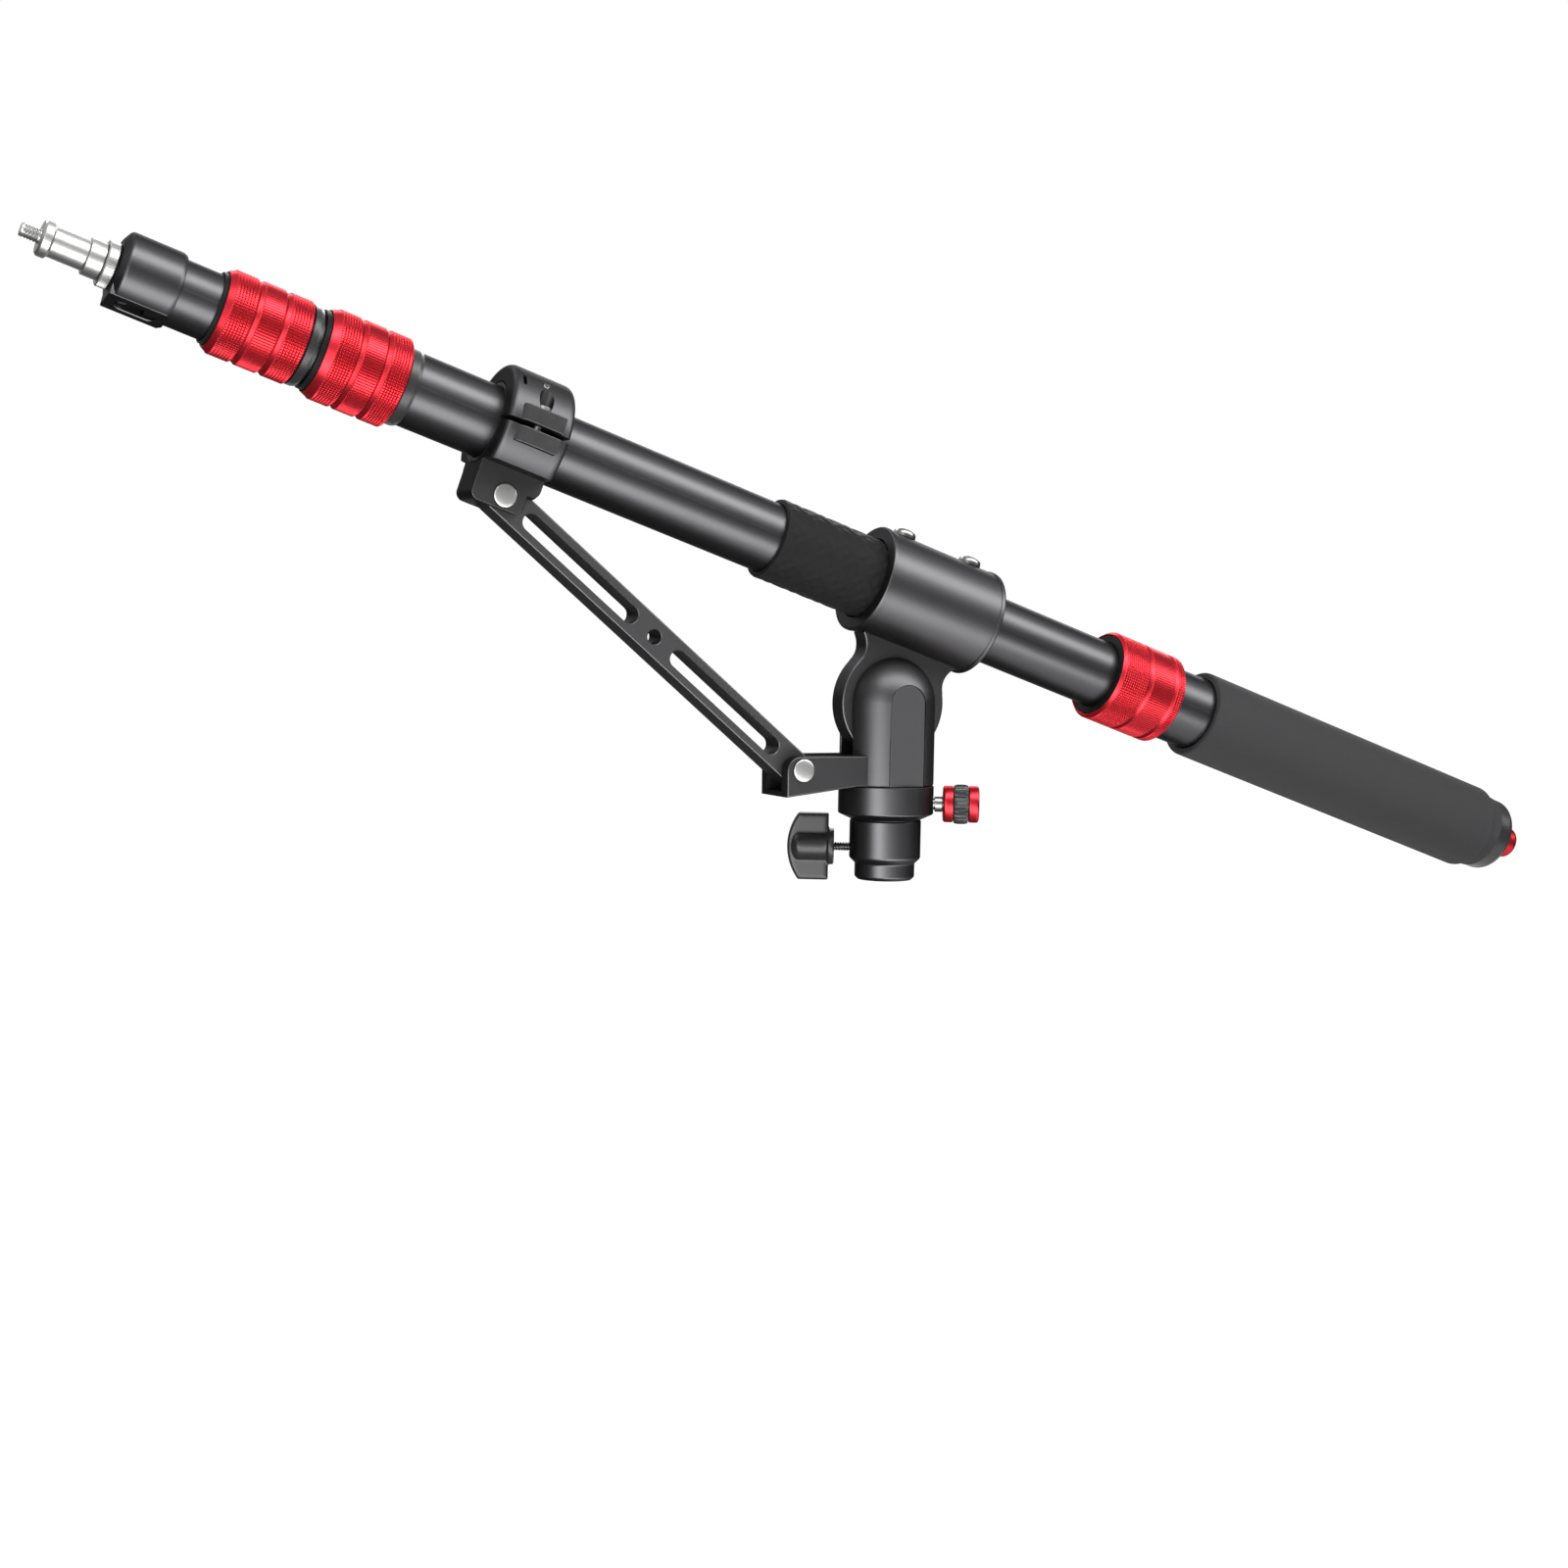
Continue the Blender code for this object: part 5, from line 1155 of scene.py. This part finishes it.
lower = STRUT_PIVOT.translation
line = CLAMP @ Vector((FORK.drop, 0, 0)) - lower
length = line.length
lean = math.atan2(line.z, line.x)
outline = oblong((length + STRUT.width) / 2, STRUT.width / 2, length / 2)
bar = plate(outline, -STRUT_HALF, STRUT_HALF, STRUT.bevel)
cuts = [moved(drill(radius, -STRUT_HALF, STRUT_HALF), along_y(x)) for radius, x in
        ((RIVET_R + GAP, 0), (RIVET_R + GAP, length), (STRUT.hole, length / 2))]
middle = STRUT.inset + STRUT.slot_half
for x in (middle, length - middle):
    cuts.append(slot_mill(STRUT.slot_half, STRUT.slot_r, -STRUT_HALF, STRUT_HALF, x))
stand = Matrix.Translation(lower) @ Matrix.Rotation(-lean, 4, "Y")
stand_in("strut_bar", cut(bar, *cuts), stand, "black_bar")
print("Strut is", round(length / MM, 1), "mm between its rivets")

# %% [markdown]
# The sleeve holds the main tube, and its tongue hangs in the yoke. The tongue's outline is a
# disc drawn in to a neck, then flared out under the sleeve. Its broad bevel is the bright line
# that follows its edge.

# %% Sleeve
SLEEVE = sizes(r=26.0, half=33.0, rim=0.5, rim_width=2.5, rim_corner=1.2, step_corner=0.8,
               bore=17.3)
WRAP = sizes(r=19.75, seat=10.0)
TONGUE = sizes(half=5.75, disc=28.0, neck=23.3, neck_rise=18.7, flare=27.0, flank_rise=12.8,
               sink=5.7, bevel=1.1)
BOLT_R = 5.3 * MM
SCREW_SPOT_R = 6.05 * MM
SCREW_HOLE_R = 2.8 * MM
SCREW_HOLE_TURN = 1.4
FLANK_STEPS = 16
BOOM_RISE = (foot - pivot).length


def tongue_outline():
    rise = BOOM_RISE - SLEEVE.r
    steep = (TONGUE.flare - TONGUE.neck) / (rise - TONGUE.neck_rise) ** 2
    low = TONGUE.flank_rise
    start = math.degrees(math.asin(low / TONGUE.disc))
    heights = [low + (rise - low) * i / FLANK_STEPS for i in range(1, FLANK_STEPS + 1)]
    flank = [(TONGUE.neck + steep * (z - TONGUE.neck_rise) ** 2, z) for z in heights]
    flank.append((TONGUE.flare, rise + TONGUE.sink))
    disc = arc(0, 0, TONGUE.disc, 180 - start, 360 + start, 4)
    return disc + flank + [(-x, z) for x, z in reversed(flank)]


rim, half, width = SLEEVE.r + SLEEVE.rim, SLEEVE.half, SLEEVE.rim_width
mouth = WRAP.r + GAP
seat = -half + WRAP.seat + GAP
blank = turned_smooth([
    (0, half), (rim, half, SLEEVE.rim_corner), (rim, half - width), (SLEEVE.r, half - width),
    (SLEEVE.r, -half + width), (rim, -half + width, SLEEVE.step_corner),
    (rim, -half, SLEEVE.rim_corner), (0, -half)])
bore = turned([(0, -half - MM), (mouth + MOUTH + MM, -half - MM), (mouth, -half + MOUTH),
               (mouth, seat), (SLEEVE.bore, seat), (SLEEVE.bore, half - MOUTH),
               (SLEEVE.bore + MOUTH + MM, half + MM), (0, half + MM)])
upright = spin(-90, "Y") @ shift(z=-BOOM_RISE)
tongue = moved(plate(tongue_outline(), -TONGUE.half, TONGUE.half, TONGUE.bevel), upright)
spot = BUTTON.seat - GAP
hole = [(0, rim + MM), (SCREW_SPOT_R, rim + MM), (SCREW_SPOT_R, spot), (SCREW_HOLE_R, spot),
        (SCREW_HOLE_R, SLEEVE.bore - GAP), (0, SLEEVE.bore - GAP)]
cuts = [bore, moved(drill(BOLT_R, -TONGUE.half, TONGUE.half), upright @ along_y())]
for side in (-1, 1):
    up = shift(z=side * BUTTON.step / 2) @ spin(-90, "Y") @ spin(SCREW_HOLE_TURN)
    cuts.append(moved(turned(hole, ROUND_SMALL), up))
stand_in("sleeve_body", cut(joined(blank, tongue), *cuts), TUBE, "black_satin")
print("Sleeve and tongue")

# %% [markdown]
# In front of the sleeve the tube wears a thin rubber wrap. Low ribs cross on it, so that its
# outline is bumpy. The ribs are two waves that wind round it in opposite ways.

# %% Rubber wrap
RIB_COUNT = 18
WRAP_STEPS = 180
RIB = sizes(pitch=7.0, height=0.4, row=0.6, edge=0.9)

front, rear, radius = reach("grip_wrap", TUBE)
rows = round((rear - front - RIB.edge) / RIB.row)
profile = [(radius, rear + (front + RIB.edge - rear) * i / rows) for i in range(rows + 1)]
profile += [(radius - RIB.edge / 3, front + RIB.edge / 3), (radius - RIB.edge, front),
            (SLEEVE.bore, front), (SLEEVE.bore, rear)]


def rib_relief(angle, row, column):
    if row > rows:
        return 0
    lift = math.tau * profile[row][1] / RIB.pitch / 2
    waves = [math.cos(RIB_COUNT / 2 * angle + way * lift) for way in (1, -1)]
    return -RIB.height * (1 - max(waves) ** 2)


stand_in("grip_wrap", turned(profile, WRAP_STEPS, rib_relief), TUBE, "rubber")
print("Wrap with crossing ribs")

# %% [markdown]
# The yoke is turned with a round top, then split by a deep slot for the tongue. A bracket for
# the strut reaches out of its front. To break the slot's edges, the two cheeks are kept by a
# pair of tools that narrow towards the slot, and that leaves a fine bevel round each dome. An
# oblong pad is let into each side; the real one's print is left off, and the pads are bare.

# %% Yoke
PIVOT_Z = joints["boom_tilt"]["pos_m"][2]
YOKE = sizes(r=23.2, bottom=46.6, rim=0.5, slot_half=6.05, slot_depth=28.2, bevel=0.5, flare=4.0)
SIDE_PAD = sizes(y=21.0, half=9.2, thickness=1.2, bevel=0.3)
SPIGOT = sizes(r=13.7, groove_r=11.7, groove_z=37.5, groove=1.25, bottom=31.3)
BRACKET = sizes(reach=61.0, top=61.5, tip=42.0, corner=7.0, floor=2.2, root=23.7, bevel=0.8)
BOLT = sizes(head_r=7.8, head=5.1, nut=5.6)
WASHER = sizes(r=12.3, recess=7.35)
SLOT_FLOOR = PIVOT_Z - YOKE.slot_depth


def stadium(half, bottom):
    """Outline with a round top about the tilt axis and straight sides down."""
    return [(half, bottom)] + arc(0, PIVOT_Z, half, 0, 180, 4) + [(-half, bottom)]


def cheek_keeper(side):
    """Tool that keeps one cheek of the yoke, narrowed at the slot's face."""
    face = math.sqrt(YOKE.r ** 2 - YOKE.slot_half ** 2) - YOKE.bevel
    stops = [(YOKE.slot_half, face), (YOKE.slot_half + YOKE.flare, face + YOKE.flare),
             (2 * YOKE.r, face + YOKE.flare)]
    return grid_solid([[(x, side * y, z) for x, z in stadium(half, SLOT_FLOOR - 2 * MM)]
                       for y, half in stops])


def yoke_blank(far):
    """The turned yoke, kept where a block below the slot or one of the cheeks is."""
    groove, middle = SPIGOT.groove, SPIGOT.groove_z
    spigot = [(YOKE.r, YOKE.bottom + YOKE.rim), (YOKE.r - YOKE.rim, YOKE.bottom),
              (SPIGOT.r, YOKE.bottom), (SPIGOT.r, middle + 2 * groove),
              (SPIGOT.groove_r, middle + groove / 2), (SPIGOT.groove_r, middle - groove / 2),
              (SPIGOT.r, middle - 2 * groove), (SPIGOT.r, SPIGOT.bottom), (0, SPIGOT.bottom)]
    low_block = block((-far, -far, 0), (far, far, SLOT_FLOOR))
    keeper = joined(low_block, cheek_keeper(-1), cheek_keeper(1))
    return combine(turned(dome(YOKE.r, YOKE.r, PIVOT_Z, 3) + spigot), "INTERSECT", [keeper])


far = 3 * YOKE.r
tip, top, corner = -BRACKET.reach, BRACKET.top, BRACKET.corner
outline = [(-SPIGOT.r, top)] + arc(tip + corner, top - corner, corner, 90, 180)
outline += [(tip, BRACKET.tip), (-BRACKET.root, YOKE.bottom), (-SPIGOT.r, YOKE.bottom)]
bracket = plate(outline, -BRACKET_HALF, BRACKET_HALF, BRACKET.bevel)
channel = [(-YOKE.r - GAP, top + MM), (tip - MM, top + MM),
           (tip - MM, BRACKET.tip + BRACKET.floor),
           (-YOKE.r - GAP, YOKE.bottom + BRACKET.floor)]
pocket = SIDE_PAD.y - SIDE_PAD.thickness - GAP
head_seat = pocket - BOLT.head
nut_seat = pocket - BOLT.nut
bore = [(0, far), (BOLT.head_r, far), (BOLT.head_r, nut_seat), (BOLT_R, nut_seat),
        (BOLT_R, WASHER.recess), (WASHER.r, WASHER.recess), (WASHER.r, -WASHER.recess),
        (BOLT_R, -WASHER.recess), (BOLT_R, -head_seat), (BOLT.head_r, -head_seat),
        (BOLT.head_r, -far), (0, -far)]
rivet_axis = along_y(STRUT_PIVOT.translation.x, STRUT_PIVOT.translation.z)
cuts = [plate(channel, -FORK_HALF, FORK_HALF),
        block((-far, -YOKE.slot_half, SLOT_FLOOR), (far, YOKE.slot_half, far)),
        moved(drill(RIVET_R + GAP, -BRACKET_HALF, BRACKET_HALF), rivet_axis)]
for side in (-1, 1):
    flat = sorted((side * SIDE_PAD.y, side * far))
    cuts.append(block((-far, flat[0], -far), (far, flat[1], far)))
    cuts.append(plate(stadium(SIDE_PAD.half + GAP, YOKE.bottom - MM),
                      *sorted((side * pocket, side * far))))
body = cut(joined(yoke_blank(far), bracket), *cuts)
body = cut(body, moved(turned(bore, ROUND_SMALL), along_y(0, PIVOT_Z)))
stand_in("yoke_body", body, HEAD, "black_casting")
for node, side in (("side_pad_near", -1), ("side_pad_far", 1)):
    faces = sorted((side * (SIDE_PAD.y - SIDE_PAD.thickness), side * SIDE_PAD.y))
    pad = plate(stadium(SIDE_PAD.half, YOKE.bottom), *faces, SIDE_PAD.bevel)
    stand_in(node, pad, HEAD, "black_paint")
print("Yoke with its bracket and pads")

# %% [markdown]
# The head's lower casting stands on the light stand. It is turned all over, with a fine groove
# under the pan collar and a narrower skirt, and is drilled for the pan screw and the wing screw.

# %% Stand socket
SOCKET = sizes(r=17.5, top=30.0, bore=8.15, depth=28.0, bore_edge=0.75, cone=2.5, cone_r=0.5,
               groove=0.6, groove_top=0.3, groove_low=1.2, corner=0.6)
COLLAR = sizes(r=23.4, top=46.3)
SKIRT = sizes(r=14.7, height=8.0, edge=1.5, cone=2.6)
CUP = sizes(r=14.0, bottom=31.0, bed_r=20.3, bed=45.3)
PAN_HOLE_R = 3.3 * MM
WING_HOLE_R = 2.55 * MM
HOLE_TURN = 2

soft = SOCKET.corner
profile = [(0, COLLAR.top), (COLLAR.r, COLLAR.top, soft),
           (COLLAR.r, SOCKET.top + SOCKET.cone, soft), (SOCKET.r + SOCKET.cone_r, SOCKET.top),
           (SOCKET.r - SOCKET.groove, SOCKET.top - SOCKET.groove_top),
           (SOCKET.r, SOCKET.top - SOCKET.groove_low), (SOCKET.r, SKIRT.height + SKIRT.cone, MM),
           (SKIRT.r, SKIRT.height, soft), (SKIRT.r, SKIRT.edge, soft), (SKIRT.r - SKIRT.edge, 0),
           (SOCKET.bore + SOCKET.bore_edge, 0), (SOCKET.bore, SOCKET.bore_edge),
           (SOCKET.bore, SOCKET.depth, 0), (0, SOCKET.depth)]
cup = turned([(0, COLLAR.top + MM), (CUP.bed_r, COLLAR.top + MM), (CUP.bed_r, CUP.bed),
              (CUP.r, CUP.bed), (CUP.r, CUP.bottom), (0, CUP.bottom)])
pan_hole = drill(PAN_HOLE_R, CUP.r / 2, COLLAR.r, (False, True))
wing_hole = drill(WING_HOLE_R, SOCKET.bore / 2, SOCKET.r, (False, True))
body = cut(turned_smooth(profile), cup, moved(pan_hole, PAN_KNOB @ spin(HOLE_TURN)),
           moved(wing_hole, WING_KNOB @ spin(HOLE_TURN)))
stand_in("socket_body", body, HEAD, "black_anodised")
print("Stand socket")

# %% [markdown]
# The pan knob has two red rings with a fluted black grip between them, all on one screw. The
# grip swells a little in its middle. Its flutes are round valleys, made by a wave round it.

# %% Pan knob
KNOB = sizes(front=28.0, ring_r=9.0, ring=5.0, edge=0.75, cap=1.6, bore=2.8, grip_r=9.75,
             grip=7.0, swell=0.5, flute=0.6)
PAN_SCREW = sizes(head_r=2.5, flange_r=4.0, r=3.0, point=3.8, point_r=0.8)
GRIP_FLUTES = 24
GRIP_STEPS = 192
GRIP_ROWS = 10


def knob_grip(low, high):
    shares = [(2 * i / GRIP_ROWS - 1, KNOB.grip * i / GRIP_ROWS) for i in range(GRIP_ROWS + 1)]
    rows = [(KNOB.grip_r - KNOB.swell * share ** 4, high - drop) for share, drop in shares]
    side = KNOB.grip_r - 2 * KNOB.swell
    rows = [(side, rows[0][1])] + rows + [(side, rows[-1][1])]
    rows = [(r, min(max(z, low), high)) for r, z in rows]

    def relief(angle, row, column):
        wave = 0.5 + 0.5 * math.cos(GRIP_FLUTES * angle)
        return -KNOB.flute * wave if 0 < row < len(rows) - 1 else 0

    return turned(rows + [(KNOB.bore, low), (KNOB.bore, high)], GRIP_STEPS, relief)


knob = KNOB.front
grip = knob + KNOB.ring + GAP
cap = grip + KNOB.grip + GAP
end = cap + KNOB.ring
edge, r, bore = KNOB.edge, KNOB.ring_r, KNOB.bore
inner = [(r, grip - GAP, edge), (r, knob, 2 * edge), (bore, knob), (bore, grip - GAP)]
outer = [(0, end), (r, end, 2 * edge), (r, cap, edge), (bore, cap), (bore, end - KNOB.cap, 0),
         (0, end - KNOB.cap)]
stand_in("pan_knob_inner_ring", turned_smooth(inner), PAN_KNOB, "red_anodised")
stand_in("pan_knob_outer_ring", turned_smooth(outer), PAN_KNOB, "red_anodised")
stand_in("pan_knob_grip", knob_grip(grip, cap - GAP), PAN_KNOB, "black_plastic")
tip, top, _ = reach("pan_screw", PAN_KNOB)
shoulder = COLLAR.r + 2 * GAP
screw = [(0, top), (PAN_SCREW.head_r, top), (PAN_SCREW.head_r, knob - GAP),
         (PAN_SCREW.flange_r, knob - GAP), (PAN_SCREW.flange_r, shoulder),
         (PAN_SCREW.r, shoulder), (PAN_SCREW.r, tip + PAN_SCREW.point),
         (PAN_SCREW.point_r, tip), (0, tip)]
stand_in("pan_screw", turned_smooth(screw, ROUND_SMALL), PAN_KNOB, "dark_steel")
print("Pan knob with", GRIP_FLUTES, "flutes")

# %% [markdown]
# The wing screw is thumbed tight against the stand's spigot. Its wing is one moulding: a round
# hub, a barrel and a blade with a curved outer side. The blade is joined to the barrel, then
# the whole is remeshed finely and relaxed, so that it blends at the joins as a moulding does.

# %% Wing knob
WING = sizes(hub_r=9.0, hub=3.0, barrel_r=7.4, half=16.5, depth=20.0, rise=5.5,
             half_thickness=3.5, rounding=1.6, free=7.5, drop=2.0, crown=3.7, screw_r=2.25)
WING_VOXEL = 0.3 * MM
WING_RELAX = 30
WING_RELAX_SHARE = 0.5

hub = SOCKET.r + WING.free
wing = hub + WING.hub
end = wing + WING.depth
barrel = dome(WING.barrel_r, WING.crown, end - WING.drop - WING.crown)
barrel += [(WING.barrel_r, wing), (WING.hub_r, wing), (WING.hub_r, hub), (0, hub)]
bulge = (WING.half ** 2 + WING.rise ** 2) / (2 * WING.rise)
sweep = math.degrees(math.asin(WING.half / bulge))
outline = arc(0, end - bulge, bulge, 90 - sweep, 90 + sweep, 3)
outline += [(-WING.half, wing - GAP), (WING.half, wing - GAP)]
body = joined(turned(barrel),
              plate(outline, -WING.half_thickness, WING.half_thickness, WING.rounding))
remesh = body.modifiers.new("remesh", "REMESH")
remesh.mode = "VOXEL"
remesh.voxel_size = WING_VOXEL
relax = body.modifiers.new("relax", "SMOOTH")
relax.factor = WING_RELAX_SHARE
relax.iterations = WING_RELAX
_, top, _ = reach("wing_screw", WING_KNOB)
body = cut(body, rod(WING.screw_r + GAP, hub - MM, top + GAP))
stand_in("wing_knob_body", body, WING_KNOB, "black_plastic")

low, top, radius = reach("wing_screw", WING_KNOB)
rows = thread_profile(radius, low + GAP, top)
profile = [(0, top)] + rows + [(radius - THREAD_DEPTH, low), (0, low)]
screw = threaded(profile, range(2, 1 + len(rows)), low, top)
stand_in("wing_screw", screw, WING_KNOB, "dark_steel")
print("Wing knob and its screw")

# %% [markdown]
# The foam grip is cut from a soft tube: its front edge is well rounded and its tail steps down
# to the cap. The cap is a glossy moulding with a domed end, and a small red plug fills its
# middle.

# %% Handle
FOAM = sizes(bore=19.15, tail=8.8, tail_r=20.0, slope=2.5, rear=0.8, shoulder=1.8, front=1.6,
             mouth=0.5)
CAP = sizes(skirt=6.7, dome=6.0, face_r=11.0, plug=4.3, corner=0.6)
STEM = sizes(r=4.0, length=6.0)
PLUG_ROUNDING = 2.5

front, rear, radius = reach("handle_foam", TUBE)
tail = rear - FOAM.tail
profile = [(FOAM.tail_r, rear, FOAM.rear), (FOAM.tail_r, tail + FOAM.slope, MM),
           (radius, tail, FOAM.shoulder), (radius, front, FOAM.front),
           (FOAM.bore, front, FOAM.mouth), (FOAM.bore, rear)]
foam = stand_in("handle_foam", turned_smooth(profile), TUBE, "foam")

front, _, radius = reach("end_cap", TUBE)
plug_front, plug_end, plug_r = reach("end_plug", TUBE)
seat = reach("handle_tube", TUBE)[1] + GAP
inside = seat - GAP - CAP.plug
skirt = front + CAP.skirt
face = skirt + CAP.dome
shank = HANDLE_BORE - GAP
stem = STEM.r + GAP
side = [(CAP.face_r + (radius - CAP.face_r) * x, skirt + CAP.dome * z, 0)
        for x, z in arc(0, 0, 1, 90, 0, 6)]
cap = [(0, face - STEM.length - GAP), (stem, face - STEM.length - GAP, 0), (stem, face), *side,
       (radius, front, CAP.corner), (FOAM.bore, front), (FOAM.bore, seat, 0), (shank, seat, 0),
       (shank, inside), (0, inside)]
stand_in("end_cap", turned_smooth(cap), TUBE, "black_plastic")
low = face + GAP
plug = [(0, plug_end), (plug_r, plug_end, plug_r / PLUG_ROUNDING), (plug_r, low), (STEM.r, low),
        (STEM.r, plug_front), (0, plug_front)]
stand_in("end_plug", turned_smooth(plug), TUBE, "red_anodised")
print("Foam, cap and plug")

# %% [markdown]
# A few pieces can't be seen from outside, such as the tilt bolt and the plugs in the tubes.
# They keep their plain CAD meshes and only get a finish. A coarse mesh is enough where no light
# goes.

# %% Finish the hidden pieces
HIDDEN = {
    "white_nylon": ["pan_thrust_washer", "friction_washer_near", "friction_washer_far"],
    "bright_steel": ["tilt_bolt", "tilt_nut"],
    "dull_plastic": ["main_tube_plug", "mid_tube_plug", "front_tube_plug", "clamp_liner"],
}
for finish_name, nodes in HIDDEN.items():
    for node in nodes:
        set_finish(frame["nodes"][node].data, finish_name)
print(sum(len(nodes) for nodes in HIDDEN.values()), "hidden pieces keep their plain meshes")
